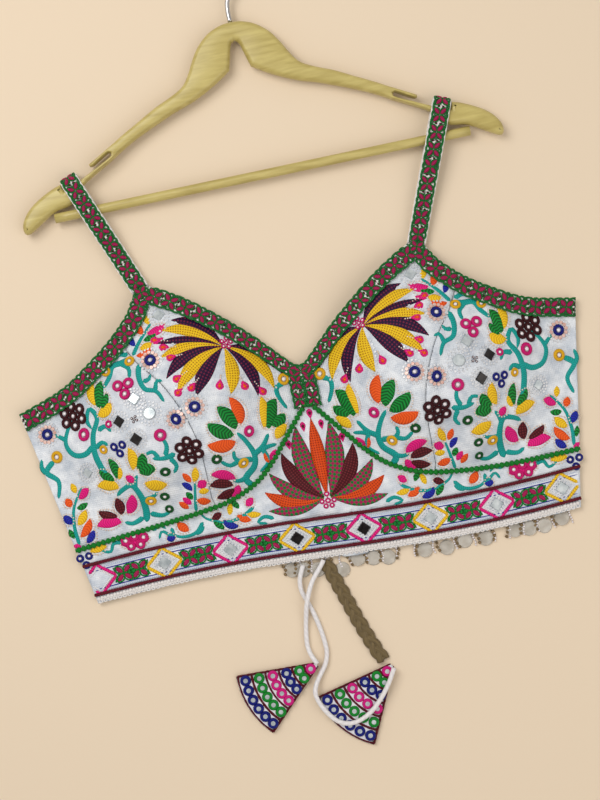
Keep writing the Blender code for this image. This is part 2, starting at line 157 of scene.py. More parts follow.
# The cords' routes: x, y and height of the middle
TIE_ROUTES = {
    "tie_left": [
        (-13.8, -0.8, 4.4), (-17.5, -5.5, 4.4), (-22, -10.5, 4.4), (-26.5, -16, 4.6), (-30.3, -22.5, 6.0),
        (-33.2, -29, 7.2), (-35.5, -35, 6.8), (-37.5, -43, 4.4), (-39.5, -52, 2.5), (-41, -61, 2.3),
        (-41.5, -68, 2.5), (-40.5, -74, 4.7), (-38.5, -79, 7), (-36.5, -83, 7.5),
    ],
    "tie_right": [
        (-31.2, -1.6, 4.4), (-34.6, -8, 4.4), (-36.8, -15, 3.8), (-36.8, -23, 2.5), (-34.2, -31, 2.2),
        (-31, -42, 2.2), (-28.5, -54, 2.2), (-27, -66, 2.2), (-27, -76, 2.2), (-30, -85, 2.4),
        (-36, -93, 3.2), (-41, -100, 5.8), (-43.2, -107, 7.5), (-41.5, -115, 7.5), (-37, -124, 7.5),
        (-30, -132.5, 7.5), (-21, -136.5, 7.5), (-11, -135.5, 7.5), (-1, -130.5, 7.5), (9, -121.5, 7.5),
        (17.5, -111, 7.5), (24.5, -99.5, 7.5),
    ],
}


def lengths(line):
    """How far along a line each of its points is."""
    return np.concatenate([[0], np.cumsum(np.linalg.norm(np.diff(line, axis=0), axis=1))])


def directions(line, closed=False):
    """The unit direction of a line at each of its points."""
    ahead = np.roll(line, -1, axis=0) - np.roll(line, 1, axis=0) if closed else np.gradient(line, axis=0)
    return ahead / np.linalg.norm(ahead, axis=1)[:, None]


def even(line, step):
    """The line again, with its points about step apart."""
    line = np.array(line, float)
    along = lengths(line)
    at = np.linspace(0, along[-1], max(2, round(along[-1] / step) + 1))
    return np.stack([np.interp(at, along, line[:, k]) for k in range(line.shape[1])], axis=1)


def smooth(points, step):
    """Points about step apart on a smooth curve through the given ones."""
    p = np.array(points, float)
    p = np.vstack([2 * p[0] - p[1], p, 2 * p[-1] - p[-2]])
    t = np.linspace(0, 1, 24, endpoint=False)[:, None]
    fine = []
    for a, b, c, d in zip(p, p[1:], p[2:], p[3:]):
        curve = b + t * (c - a) / 2 + t**2 * (2 * a - 5 * b + 4 * c - d) / 2
        fine.append(curve + t**3 * (3 * b - a - 3 * c + d) / 2)
    return even(np.vstack([*fine, p[-2]]), step)


def placed(points):
    """Millimetres from the hem to metres in the object's frame."""
    return (np.array(points, float) - (0, MIDDLE_Y, 0)) / 1000


def ring_faces(rings, around, closed=False):
    """The faces of a skin over rings of points, one ring after another."""
    faces = []
    for i in range(rings if closed else rings - 1):
        a, b = i * around, (i + 1) % rings * around
        faces += [(a + j, a + (j + 1) % around, b + (j + 1) % around, b + j) for j in range(around)]
    return faces


def tube(line, radius, around=10, strands=0, pitch=1.0, groove=0.0, closed=False):
    """A cord along a line of 3-D points, with twisted strands if it has them: points, faces and UV in mm."""
    line = np.array(line, float)
    ahead = directions(line, closed)
    side = np.cross(ahead, (0, 0, 1.0))
    side /= np.linalg.norm(side, axis=1)[:, None]
    top = np.cross(side, ahead)
    along = lengths(line)
    turn = np.linspace(0, 2 * math.pi, around, endpoint=False)
    lobes = 1.0
    if strands:
        lobes = np.abs(np.sin(strands / 2 * (turn[None] - 2 * math.pi * along[:, None] / pitch)))
    reach = np.reshape(radius, (-1, 1)) * (1 - groove * (1 - lobes))
    reach = np.broadcast_to(reach, (len(line), around))[..., None]
    outwards = np.cos(turn)[None, :, None] * side[:, None] + np.sin(turn)[None, :, None] * top[:, None]
    rings = line[:, None] + reach * outwards
    round_it = np.mean(radius) * np.abs(turn - math.pi)
    uv = np.stack(np.broadcast_arrays(along[:, None], round_it[None]), axis=2)
    faces = ring_faces(len(line), around, closed)
    if not closed:
        last = (len(line) - 1) * around
        faces += [tuple(range(around)), tuple(last + j for j in range(around))]
    return rings.reshape(-1, 3), faces, uv.reshape(-1, 2)


def gathered(shapes):
    """Several shapes as one."""
    points, faces, uvs, first = [], [], [], 0
    for shape_points, shape_faces, shape_uv in shapes:
        points.append(shape_points)
        uvs.append(shape_uv)
        faces += [tuple(v + first for v in face) for face in shape_faces]
        first += len(shape_points)
    return np.vstack(points), faces, np.vstack(uvs)


def shown(obj, replaced=()):
    """Links a piece, lets it ride, and hides the parts that it stands for."""
    if not obj.users_collection:
        bpy.context.scene.collection.objects.link(obj)
    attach(obj, "root")
    if replaced:
        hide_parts(*replaced)
    return obj


def piece(name, shape, material, replaced=()):
    """A mesh piece from a closed shape in millimetres, its faces turned outwards, riding on the one body."""
    points, faces, uv = shape
    mesh = bpy.data.meshes.new(name)
    mesh.from_pydata([tuple(p) for p in placed(points)], [], faces)
    layer = mesh.uv_layers.new(name="threads")
    corner = np.zeros(len(mesh.loops), np.int32)
    mesh.loops.foreach_get("vertex_index", corner)
    layer.data.foreach_set("uv", np.array(uv, np.float32)[corner].ravel())
    work = bmesh.new()
    work.from_mesh(mesh)
    bmesh.ops.recalc_face_normals(work, faces=work.faces)
    work.to_mesh(mesh)
    work.free()
    mesh.shade_smooth()
    mesh.materials.append(material)
    return shown(bpy.data.objects.new(name, mesh), replaced)


# Polyester satin: smooth and softly shiny, with faint ridges where the bias tube twists, drawn 2.4 mm apart.
satin, tree, shader = dyed("white bias satin", "#DEDCDF", 0.38, Sheen_Weight=0.3, Specular_IOR_Level=0.5)
uv = put(tree, "ShaderNodeUVMap").outputs["UV"]
slant = put(tree, "ShaderNodeTexWave", {"Vector": uv, "Scale": 0.13, "Distortion": 1.5, "Detail": 2.0},
            bands_direction="DIAGONAL")
tone = put(tree, "ShaderNodeMix", {0: slant.outputs["Fac"], 6: sRGB("#DCDADD"), 7: sRGB("#E6E4E7")},
           data_type="RGBA")
tree.links.new(tone.outputs[2], shader.inputs["Base Color"])
lift = put(tree, "ShaderNodeBump", {"Height": slant.outputs["Fac"], "Strength": 0.04, "Distance": 0.0003})
tree.links.new(lift.outputs["Normal"], shader.inputs["Normal"])

tie_pieces, tie_lines = {}, {}
for name, route in TIE_ROUTES.items():
    line = smooth(route, TIE_STEP)
    tie_lines[name] = line
    pinch = TIE / 2 * (0.92 + 0.02 * np.sin(np.arange(len(line)) * 0.6))
    tie_pieces[name] = piece(name + "_satin", tube(line, pinch, 12), satin, [name])

# ---------------------------------------------------------------- plaited tie
# A flat three-strand plait of tan zari cord, from the hem of the back to the right tassel, its end bound.
PLAIT_WIDTH, PLAIT, PLAIT_STEP = 12.6, 4.0, 1.4
PLAIT_ROUTE = [(-12.6, -3), (-8.6, -16), (-3.5, -32), (2, -50), (8, -68), (14.5, -85), (17.5, -92)]
STRANDS, STRAND = 3, 5.4  # how many, and the width of one
STRAND_TURN = 31.0  # of the plait's length in which a strand comes back to the same side
STRAND_LIFT, STRAND_PRESSED = 0.7, 0.56  # how far strands rise over each other, and how flat they are


def leftward(line):
    """The unit direction to the left of a flat line at each of its points."""
    ahead = directions(line)
    return np.stack([-ahead[:, 1], ahead[:, 0]], axis=1)


def beside(line, distances):
    """A flat line moved to its left by a distance for each point."""
    line = np.array(line, float)
    return line + leftward(line) * np.array(distances, float).reshape(-1, 1)


# Zari over jute: dull gold and tan fibres along each strand, drawn 1.5 mm apart, with painted shade in its
# darkest tone.
zari, tree, shader = dyed("tan zari cord", "#8F7F5C", 0.6, Sheen_Weight=0.2)
uv = put(tree, "ShaderNodeUVMap").outputs["UV"]
drawn_out = put(tree, "ShaderNodeVectorMath", {0: uv, 1: (0.25, 1.6, 1.0)}, operation="MULTIPLY").outputs[0]
fibres = put(tree, "ShaderNodeTexNoise", {"Vector": drawn_out, "Scale": 0.7, "Detail": 4.0})
# Painted shade: the near-black tone goes where the fibres' relief is low; the rest is the fibres' own tone.
tone = put(tree, "ShaderNodeMix", {0: fibres.outputs["Fac"], 6: sRGB("#2C200C"), 7: sRGB("#857043")},
           data_type="RGBA")
tree.links.new(tone.outputs[2], shader.inputs["Base Color"])
lift = put(tree, "ShaderNodeBump", {"Height": fibres.outputs["Fac"], "Strength": 0.6, "Distance": 0.0006})
tree.links.new(lift.outputs["Normal"], shader.inputs["Normal"])

plait_line = smooth(PLAIT_ROUTE, PLAIT_STEP)
plait_steps = np.arange(len(plait_line)) * PLAIT_STEP
strands = []
for k in range(STRANDS):
    phase = 2 * math.pi * (plait_steps / STRAND_TURN + k / STRANDS)
    flat_line = beside(plait_line, (PLAIT_WIDTH - STRAND) / 2 * np.sin(phase))
    height = PLAIT / 2 + STRAND_LIFT * np.sin(2 * phase)
    points, faces, uv = tube(np.column_stack([flat_line, height]), STRAND / 2, 10)
    points[:, 2] = np.clip(PLAIT / 2 + (points[:, 2] - PLAIT / 2) * STRAND_PRESSED, 0.1, PLAIT)
    strands.append((points, faces, uv))
plait = piece("plait_zari", gathered(strands), zari, ["plait"])

# ---------------------------------------------------------------- tassels
# Two fan-shaped latkans: a stuffed triangle of white cotton with rows of small round mirrors, each held in a
# ring of thread, between rows of maroon cord that follow the fan's arc. Each ends a satin tie.
TASSEL, TASSEL_RADIUS, TASSEL_TIP = 5.0, 71.0, 3.0  # thickness, and the reach of its edge and of its point
# Each tassel's name and cord, its apex's x and y, and its direction and spread in degrees
TASSELS = [
    ("tassel_left", "tie_left", -34.5, -83.2, 201.0, 48.0),
    ("tassel_right", "tie_right", 25.5, -96.0, 218.5, 53.0),
]
FAN_ROWS, FAN_COLUMNS, FAN_RIM = 30, 17, 1.3  # points down and across the fan, and the height of its rim
RING_ROWS = [(9, "pink"), (18, "green"), (28.8, "blue"), (40.2, "pink"), (51.6, "green"), (63, "blue")]
CORD_ROWS = [13.5, 23.4, 34.5, 45.9, 57.3]
FAN_CORD = {"around": 8, "strands": 2, "pitch": 3.2, "groove": 0.3}  # a twist of two strands
RING = 8.8  # across one ring
RING_LINE, RING_THREAD = RING / 2 - 1.25, 0.46  # the radius of a ring's line, and its thread's share of that
HOOP_SIDES, THREAD_SIDES, DISC_SIDES = 14, 5, 14  # few, because these shapes repeat by the hundred
WAVE = 0.314  # a wave texture of scale 1 repeats in this length


def bead_tree(kind):
    """Geometry Nodes that set one shape on each point, turned to its facing and sized by its size."""
    tree = bpy.data.node_groups.new(kind + " set on cloth", "GeometryNodeTree")
    tree.interface.new_socket("Points", in_out="INPUT", socket_type="NodeSocketGeometry")
    for name in ("Thickness", "Flatness"):
        tree.interface.new_socket(name, in_out="INPUT", socket_type="NodeSocketFloat")
    tree.interface.new_socket("Finish", in_out="INPUT", socket_type="NodeSocketMaterial")
    tree.interface.new_socket("Beads", in_out="OUTPUT", socket_type="NodeSocketGeometry")
    given = put(tree, "NodeGroupInput").outputs
    size = put(tree, "GeometryNodeInputNamedAttribute", {"Name": "size"}, data_type="FLOAT")
    facing = put(tree, "GeometryNodeInputNamedAttribute", {"Name": "facing"}, data_type="FLOAT_VECTOR")
    if kind == "ring":
        curves = {}
        for socket, sides, reach in (
            ("Curve", HOOP_SIDES, 1.0),
            ("Profile Curve", THREAD_SIDES, given["Thickness"]),
        ):
            sizes = {"Resolution": sides, "Radius": reach}
            circle = put(tree, "GeometryNodeCurvePrimitiveCircle", sizes, mode="RADIUS")
            curves[socket] = circle.outputs["Curve"]
        shape = put(tree, "GeometryNodeCurveToMesh", curves)
    elif kind == "bead":
        shape = put(tree, "GeometryNodeMeshUVSphere", {"Segments": 6, "Rings": 4, "Radius": 1.0})
    else:
        corners = {"disc": DISC_SIDES, "square": 4}[kind]
        sizes = {"Vertices": corners, "Radius Top": 0.86, "Radius Bottom": 1.0, "Depth": 1.0}
        shape = put(tree, "GeometryNodeMeshCone", sizes, fill_type="NGON")
    depth = put(tree, "ShaderNodeCombineXYZ", {"X": 1.0, "Y": 1.0, "Z": given["Flatness"]}).outputs["Vector"]
    flat = put(tree, "GeometryNodeTransform", {"Geometry": shape.outputs["Mesh"], "Scale": depth})
    turned = put(tree, "FunctionNodeAlignRotationToVector", {"Vector": facing.outputs["Attribute"]}, axis="Z")
    each = put(tree, "GeometryNodeInstanceOnPoints", {
        "Points": given["Points"],
        "Instance": flat.outputs["Geometry"],
        "Rotation": turned.outputs["Rotation"],
        "Scale": size.outputs["Attribute"],
    })
    real = put(tree, "GeometryNodeRealizeInstances", {"Geometry": each.outputs["Instances"]})
    finish = put(tree, "GeometryNodeSetMaterial", {
        "Geometry": real.outputs["Geometry"],
        "Material": given["Finish"],
    })
    put(tree, "NodeGroupOutput", {"Beads": finish.outputs["Geometry"]})
    return tree


BEAD_TREES = {kind: bead_tree(kind) for kind in ("ring", "bead", "disc", "square")}


def beaded(name, kind, spots, sizes, material, slot, thickness=0.2, flatness=1.0, facings=None, replaced=()):
    """Beads, rings or discs on given points in millimetres, as one plain mesh."""
    mesh = bpy.data.meshes.new(name)
    mesh.from_pydata([tuple(p) for p in placed(spots)], [], [])
    sizes = np.broadcast_to(np.array(sizes, np.float32) / 1000, len(spots))
    mesh.attributes.new("size", "FLOAT", "POINT").data.foreach_set("value", sizes)
    up = np.broadcast_to(np.array((0, 0, 1.0) if facings is None else facings, np.float32), (len(spots), 3))
    mesh.attributes.new("facing", "FLOAT_VECTOR", "POINT").data.foreach_set("vector", up.ravel())
    dots = bpy.data.objects.new(name + " points", mesh)
    bpy.context.scene.collection.objects.link(dots)
    maker = dots.modifiers.new("beads", "NODES")
    maker.node_group = BEAD_TREES[kind]
    inputs = {"Thickness": float(thickness), "Flatness": float(flatness), "Finish": material}
    for item in maker.node_group.interface.items_tree:
        if item.name in inputs:
            maker[item.identifier] = inputs[item.name]
    evaluated = dots.evaluated_get(bpy.context.evaluated_depsgraph_get())
    made = bpy.data.meshes.new_from_object(evaluated)
    dots.modifiers.remove(maker)
    bpy.data.objects.remove(dots)
    made.name = name
    for word in ("size", "facing"):
        if word in made.attributes:
            made.attributes.remove(made.attributes[word])
    if kind in ("ring", "bead"):
        made.shade_smooth()
    return shown(bpy.data.objects.new(name, made), replaced)


def thread(name, code, deep, spacing=1.1, gap_code=None, gap_size=2.2, gap_from=0.2):
    """Embroidery thread: lustrous rayon laid side by side, drawn coarser than it is, its deep tone a painted
    shade in the hollows between the laid lines. Where the filling is a lattice, a second colour shows in its
    gaps."""
    made, tree, shader = dyed(name, code, 0.55, Sheen_Weight=0.03, Specular_IOR_Level=0.18)
    uv = put(tree, "ShaderNodeUVMap").outputs["UV"]
    part = put(tree, "ShaderNodeSeparateXYZ", {"Vector": uv}).outputs
    slope = put(tree, "ShaderNodeMath", {0: part["Y"], 1: 0.55, 2: part["X"]}, operation="MULTIPLY_ADD")
    line = put(tree, "ShaderNodeCombineXYZ", {"X": slope.outputs[0]}).outputs[0]
    lay = {"Vector": line, "Scale": WAVE / spacing, "Distortion": 0.9, "Detail": 2.0, "Detail Scale": 1.2}
    stripes = put(tree, "ShaderNodeTexWave", lay).outputs["Fac"]
    # Painted shade: the deep tone goes where the stripes' relief is low, between the laid threads.
    tone = put(tree, "ShaderNodeMix", {0: stripes, 6: sRGB(deep), 7: sRGB(code)}, data_type="RGBA").outputs[2]
    if gap_code:
        turn = math.pi / gap_size
        along = put(tree, "ShaderNodeMath", {0: part["X"], 1: turn}, operation="MULTIPLY").outputs[0]
        across = put(tree, "ShaderNodeMath", {0: part["Y"], 1: turn}, operation="MULTIPLY").outputs[0]
        rows = []
        for slant in ("ADD", "SUBTRACT"):
            steps = put(tree, "ShaderNodeMath", {0: along, 1: across}, operation=slant).outputs[0]
            rows.append(put(tree, "ShaderNodeMath", {0: steps}, operation="SINE").outputs[0])
        both = put(tree, "ShaderNodeMath", {0: rows[0], 1: rows[1]}, operation="MULTIPLY").outputs[0]
        gaps = {"Value": both, "From Min": gap_from, "From Max": gap_from + 0.3}
        speck = put(tree, "ShaderNodeMapRange", gaps).outputs[0]
        tone = put(tree, "ShaderNodeMix", {0: speck, 6: tone, 7: sRGB(gap_code)}, data_type="RGBA").outputs[2]
    tree.links.new(tone, shader.inputs["Base Color"])
    lift = put(tree, "ShaderNodeBump", {"Height": stripes, "Strength": 0.45, "Distance": 0.0004})
    tree.links.new(lift.outputs["Normal"], shader.inputs["Normal"])
    return made


def clouded(name, code, deep, patch, roughness, **sockets):
    """A smooth material that wanders between two tones, in soft patches of a size in millimetres."""
    made, tree, shader = dyed(name, code, roughness, **sockets)
    where = put(tree, "ShaderNodeTexCoord").outputs["Object"]
    cloud = put(tree, "ShaderNodeTexNoise", {"Vector": where, "Scale": 1000.0 / patch, "Detail": 3.0})
    share = put(tree, "ShaderNodeMapRange", {"Value": cloud.outputs["Fac"], "From Min": 0.3, "From Max": 0.7})
    tone = put(tree, "ShaderNodeMix", {0: share.outputs[0], 6: sRGB(deep), 7: sRGB(code)}, data_type="RGBA")
    tree.links.new(tone.outputs[2], shader.inputs["Base Color"])
    return made


def grid_faces(rows, columns):
    """The faces of a sheet of points, row by row."""
    faces = []
    for i in range(rows - 1):
        a, b = i * columns, (i + 1) * columns
        faces += [(a + j, a + j + 1, b + j + 1, b + j) for j in range(columns - 1)]
    return faces


def shell_faces(rows, columns):
    """The faces of an upper sheet of points, of an under one after it, and of the rim between them."""
    count, end = rows * columns, columns - 1
    faces = grid_faces(rows, columns)
    faces += [tuple(v + count for v in reversed(face)) for face in faces]
    rim = [i * columns for i in range(rows)] + [(rows - 1) * columns + j for j in range(1, columns)]
    rim += [i * columns + end for i in range(rows - 2, -1, -1)] + list(range(end - 1, 0, -1))
    return faces + [(a, b, b + count, a + count) for a, b in zip(rim, rim[1:] + rim[:1])]


def on_tassel(apex_x, apex_y, direction, spread):
    """A surface for (distance from the apex, share of the spread from the middle, height)."""

    def at(radius, share, height):
        angle = np.radians(direction + np.array(share) * (spread - 1.5))
        x, y = apex_x + radius * np.cos(angle), apex_y + radius * np.sin(angle)
        return np.column_stack(np.broadcast_arrays(x, y, height))

    return at


# Rayon thread in three colours round the mirrors, and maroon on the cords, which all catch a soft light.
RING_THREADS = {
    "pink": thread("pink ring thread", "#F0268F", "#C4147A"),
    "green": thread("green ring thread", "#14A63C", "#0A7E28"),
    "blue": thread("blue ring thread", "#1226AC", "#0A1670"),
}
maroon_thread = thread("maroon cord thread", "#6A1024", "#350612")
# Silvered discs: thin and bright, a little uneven, so that they gleam without showing a clear reflection.
foil = clouded("silver foil disc", "#D6DEE2", "#A9B4BA", 5.0, 0.28, Metallic=0.35)
# Cotton drill: matte and cool white, with a slanting weave drawn 1.6 mm apart and soft grey blotches.
white_cotton, tree, shader = dyed("white cotton drill", "#E4E4EC", 0.85, Sheen_Weight=0.2)
where = put(tree, "ShaderNodeTexCoord").outputs["Object"]
drill = put(tree, "ShaderNodeTexWave", {"Vector": where, "Scale": WAVE / 0.0016, "Distortion": 1.0},
            bands_direction="DIAGONAL")
lift = put(tree, "ShaderNodeBump", {"Height": drill.outputs["Fac"], "Strength": 0.3, "Distance": 0.0003})
tree.links.new(lift.outputs["Normal"], shader.inputs["Normal"])
blotch = put(tree, "ShaderNodeTexNoise", {"Vector": where, "Scale": 90.0})
tone = put(tree, "ShaderNodeMix", {0: blotch.outputs["Fac"], 6: sRGB("#C9CBDA"), 7: sRGB("#F2F2F6")},
           data_type="RGBA")
tree.links.new(tone.outputs[2], shader.inputs["Base Color"])

for name, tie, apex_x, apex_y, direction, spread in TASSELS:
    on_fan = on_tassel(apex_x, apex_y, direction, spread)
    radii = np.linspace(TASSEL_TIP, TASSEL_RADIUS - 0.8, FAN_ROWS)
    shares = np.linspace(-0.5, 0.5, FAN_COLUMNS)
    stuffed = (1 - (np.abs(shares) * 2) ** 6)[None] * (1 - np.linspace(0, 1, FAN_ROWS) ** 14)[:, None]
    stuffed = np.clip(stuffed, 0, 1) ** 0.5
    heights = FAN_RIM + (TASSEL - 1.9) * stuffed
    upper = np.vstack([on_fan(radius, shares, row) for radius, row in zip(radii, heights)])
    under = upper.copy()
    under[:, 2] = FAN_RIM - 1.2 * stuffed.ravel()
    points = np.vstack([upper, under])
    fan_shape = (points, shell_faces(FAN_ROWS, FAN_COLUMNS), points[:, :2])
    fan = piece(name + "_fan", fan_shape, white_cotton, [name])
    on_tie = [fan]
    top = TASSEL - 0.6
    for colour, ring_thread in RING_THREADS.items():
        spots = []
        for radius, row_colour in RING_ROWS:
            if row_colour == colour:
                fits = max(1, round(radius * math.radians(spread - 2) / RING))
                spots += [on_fan(radius, (k + 0.5) / fits - 0.5, top)[0] for k in range(fits)]
        rings = beaded(f"{name}_{colour}_rings", "ring", spots, RING_LINE, ring_thread, "thread", RING_THREAD)
        within = np.array(spots) - (0, 0, 0.1)
        reach = RING_LINE * 0.78
        discs = beaded(f"{name}_{colour}_mirrors", "disc", within, reach, foil, "mirror", flatness=0.3)
        on_tie += [rings, discs]
    rows_of_cord = []
    across = np.linspace(-0.49, 0.49, 24)
    drape = top - 0.1 - 1.6 * (np.abs(across) * 2) ** 8
    for radius in CORD_ROWS:
        rows_of_cord.append(tube(on_fan(radius, across, drape), 1.15, **FAN_CORD))
    edges = [on_fan(np.linspace(TASSEL_TIP, TASSEL_RADIUS - 2, 30), share, 2.4) for share in (-0.5, 0.5)]
    edges.append(on_fan(TASSEL_RADIUS - 2.2, np.linspace(-0.5, 0.5, 30), 2.4))
    rows_of_cord += [tube(line, 1.0, **FAN_CORD) for line in edges]
    on_tie.append(piece(name + "_cord_rows", gathered(rows_of_cord), maroon_thread))
    length = float(np.linalg.norm(np.diff(tie_lines[tie], axis=0), axis=1).sum()) / 1000

# ---------------------------------------------------------------- back and front panels
# White cotton silk over thin wadding: two back halves that lie on the table, and over them the front, cut as
# two panels for each cup, a midriff with a point between the cups, and a waistband. The cups are padded.
SWAY, SWAY_LENGTH = 5.0, 240.0  # the blouse lies this much higher on one side
BACK_CLOTH, FRONT_CLOTH, FRONT_TOP = 2.0, 2.5, 4.8
CUP_HEIGHT, CUP_X, CUP_Y, CUP_FULLNESS = 42.0, 97.0, 130.0, 1.5
CUP_INWARD, CUP_OUTWARD, CUP_UP, CUP_DOWN = 88.0, 120.0, 125.0, 82.0
PRINCESS = [(142, 212), (131, 188), (110, 160), (96, 127), (92, 100), (93, 55.7)]  # the seam down each cup
SEAM_DEPTH, SEAM_WIDTH = 1.5, 2.2
DENT, DENT_OUT, DENT_WIDTH = 4.0, 14, 11  # how far the padding sinks outside that seam, where and how widely
PANEL_CUTS = 5  # new points on each edge of a panel's solid
princess_line = smooth(PRINCESS, 4.0)


def sway(x):
    """How far the blouse lies below its drawn place at x."""
    return SWAY * np.sin(math.pi * x / SWAY_LENGTH)


def swell(x, y):
    """Height of the front over its flat part: the cups, soft creases, and the dip of each cup's seam."""
    across, along = np.abs(x) - CUP_X, y - CUP_Y
    u = across / np.where(across > 0, CUP_OUTWARD, CUP_INWARD)
    v = along / np.where(along > 0, CUP_UP, CUP_DOWN)
    share = np.clip(1 - u * u - v * v, 0, None)
    creases = 0.62 * np.sin(x / 9.0 + 2.2 * np.sin(y / 23.0))
    creases = creases + 0.55 * np.sin(y / 7.5 - x / 19.0 + 1.3 * np.sin(x / 31.0))
    gap = np.full(np.shape(x), 99.0)
    for px, py in princess_line:
        gap = np.minimum(gap, np.hypot(np.abs(x) - px, y - py))
    dip = SEAM_DEPTH * np.exp(-((gap / SEAM_WIDTH) ** 2))
    outside = np.abs(x) - np.interp(y, princess_line[::-1, 1], princess_line[::-1, 0])
    sunk = DENT * np.exp(-(((outside - DENT_OUT) / DENT_WIDTH) ** 2))
    dip = dip + sunk * np.clip((y - 62) / 30, 0, 1) * np.clip((200 - y) / 45, 0, 1)
    gathers = 0.55 * np.sin(y / 2.6) * np.exp(-((gap / 9.0) ** 2))
    inner = np.clip((y - 40) / 20, 0, 1) * np.clip((210 - np.abs(x)) / 20, 0, 1)
    return CUP_HEIGHT * share**CUP_FULLNESS + inner * (creases - dip + gathers) + 0.15 * creases


def front_level(x, y):
    """Height of the front's upper face."""
    return FRONT_TOP + swell(x, y)


def back_level(x, y):
    """Height of the back's upper face, which lies on the table with soft folds."""
    return BACK_CLOTH - 0.35 + 0.3 * np.sin(x / 14.0 + y / 25.0) * np.sin(y / 18.0)


def on_front(points):
    """Flat points (x, y, height over the cloth) laid on the front."""
    x, y, rise = np.array(points, float).T
    return np.column_stack([x, y - sway(x), front_level(x, y) + rise])


def facing(x, y):
    """Which way the front faces at a point."""
    x, y = np.array(x, float), np.array(y, float)
    step = 3.0
    slope_x = (swell(x + step, y) - swell(x - step, y)) / (2 * step)
    slope_y = (swell(x, y + step) - swell(x, y - step)) / (2 * step)
    face = np.column_stack([-slope_x, -slope_y, np.ones(np.size(x))])
    return face / np.linalg.norm(face, axis=1)[:, None]


def sewn_panel(node, cuts, rise, thickness, material, level):
    """A panel with its solid's outline, divided finely and laid again at level(x, y), as a closed cloth."""
    work = bmesh.new()
    work.from_mesh(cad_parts[node].data)
    bmesh.ops.remove_doubles(work, verts=work.verts, dist=1e-6)
    hidden = [f for f in work.faces if f.normal.z < 0.35]
    bmesh.ops.delete(work, geom=hidden, context="FACES")
    bmesh.ops.subdivide_edges(work, edges=work.edges[:], cuts=cuts, use_grid_fill=True)
    x = np.array([v.co.x for v in work.verts]) * 1000
    y = np.array([v.co.y for v in work.verts]) * 1000 + MIDDLE_Y
    z = level(x, y + sway(x)) + rise
    for v, height in zip(work.verts, z):
        v.co.z = height / 1000
    mesh = bpy.data.meshes.new(node + "_cloth")
    work.to_mesh(mesh)
    work.free()
    mesh.shade_smooth()
    mesh.materials.append(material)
    made = shown(bpy.data.objects.new(node + "_cloth", mesh), [node])
    wall = made.modifiers.new("thickness", "SOLIDIFY")
    wall.thickness = thickness / 1000
    wall.offset = -1.0
    return made


# Cotton silk: a fine plain weave with slubs, washed out to a cool white. Weave and slubs are drawn about
# three times as coarse as they are, so that they show.
cloth, tree, shader = dyed("white cotton silk", "#DDE3EA", 0.72, Sheen_Weight=0.12, Sheen_Roughness=0.4)
where = put(tree, "ShaderNodeTexCoord").outputs["Object"]
yarn = {"Vector": where, "Distortion": 1.2, "Detail": 2.0}
weft = put(tree, "ShaderNodeTexWave", {**yarn, "Scale": WAVE / 0.0017}, bands_direction="Y")
warp = put(tree, "ShaderNodeTexWave", {**yarn, "Scale": WAVE / 0.0015}, bands_direction="X")
weave = put(tree, "ShaderNodeMath", {0: weft.outputs["Fac"], 1: warp.outputs["Fac"]}, operation="ADD")
slub = put(tree, "ShaderNodeTexNoise", {"Vector": where, "Scale": 75.0, "Detail": 5.0, "Roughness": 0.62})
soft = put(tree, "ShaderNodeValToRGB", {"Fac": slub.outputs["Fac"]})
spread_ramp(soft, 0.34, "#BCC6D4", 0.66, "#E9EEF5")
grain = put(tree, "ShaderNodeMix", {0: 0.05, 6: soft.outputs["Color"], 7: weft.outputs["Color"]},
            data_type="RGBA", blend_type="MULTIPLY")
tree.links.new(grain.outputs[2], shader.inputs["Base Color"])
raised = put(tree, "ShaderNodeMath", {0: slub.outputs["Fac"], 1: 4.5, 2: weave.outputs[0]},
             operation="MULTIPLY_ADD")
lift = put(tree, "ShaderNodeBump", {"Height": raised.outputs[0], "Strength": 0.3, "Distance": 0.0006})
tree.links.new(lift.outputs["Normal"], shader.inputs["Normal"])

for side_name in ("left", "right"):
    node = "back_" + side_name
    sewn_panel(node, PANEL_CUTS, 0, 1.4, cloth, back_level)
    for part in ("inner", "outer"):
        node = f"cup_{part}_{side_name}"
        cup = sewn_panel(node, PANEL_CUTS, 0, FRONT_CLOTH - 0.2, cloth, front_level)
for node in ("midriff", "waistband"):
    sewn_panel(node, PANEL_CUTS, 0, FRONT_CLOTH - 0.2, cloth, front_level)

# ---------------------------------------------------------------- embroidery on the cups and midriff
# Aari embroidery in rayon thread, worked on the flat panels before they are sewn up: satin-stitched leaves,
# petals and vines, chain-stitched rings and dotted stems. Each shape is a low mound of thread on the cloth.
# The right half is drawn here, x outwards from the centre front, and the left half is its mirror image.
RISE = 1.1  # height of a filled shape
SUNK = 0.35  # how far its edge lies under the cloth's face
LEAF_SPREAD, VINE_SPREAD, RING_SPREAD = 1.32, 1.65, 1.25  # the finished stitching over the drawn widths


def bow(x0, y0, x1, y1, bend, steps=11):
    """A line that bows to its left by bend."""
    t = np.linspace(0, 1, steps)[:, None]
    start, end = np.array((x0, y0), float), np.array((x1, y1), float)
    chord = end - start
    left = np.array((-chord[1], chord[0])) / np.linalg.norm(chord)
    return start + t * chord + 4 * t * (1 - t) * bend * left


# How wide a shape is along its line, from its root at 0 to its tip at 1, as a share of its full width
FORMS = {
    "leaf": lambda t: np.sin(math.pi * t**0.95) ** 0.75,
    "petal": lambda t: np.sin(math.pi * t**1.15) ** 0.95,
    "drop": lambda t: np.sin(math.pi * t**1.6) ** 0.7,
    "vine": lambda t: np.clip(1.1 - 0.5 * t, 0, 1) * np.clip(np.minimum(t, 1 - t) * 14, 0, 1) ** 0.5,
    "bar": lambda t: np.clip(np.minimum(t, 1 - t) * 25, 0, 1) ** 0.5,
}


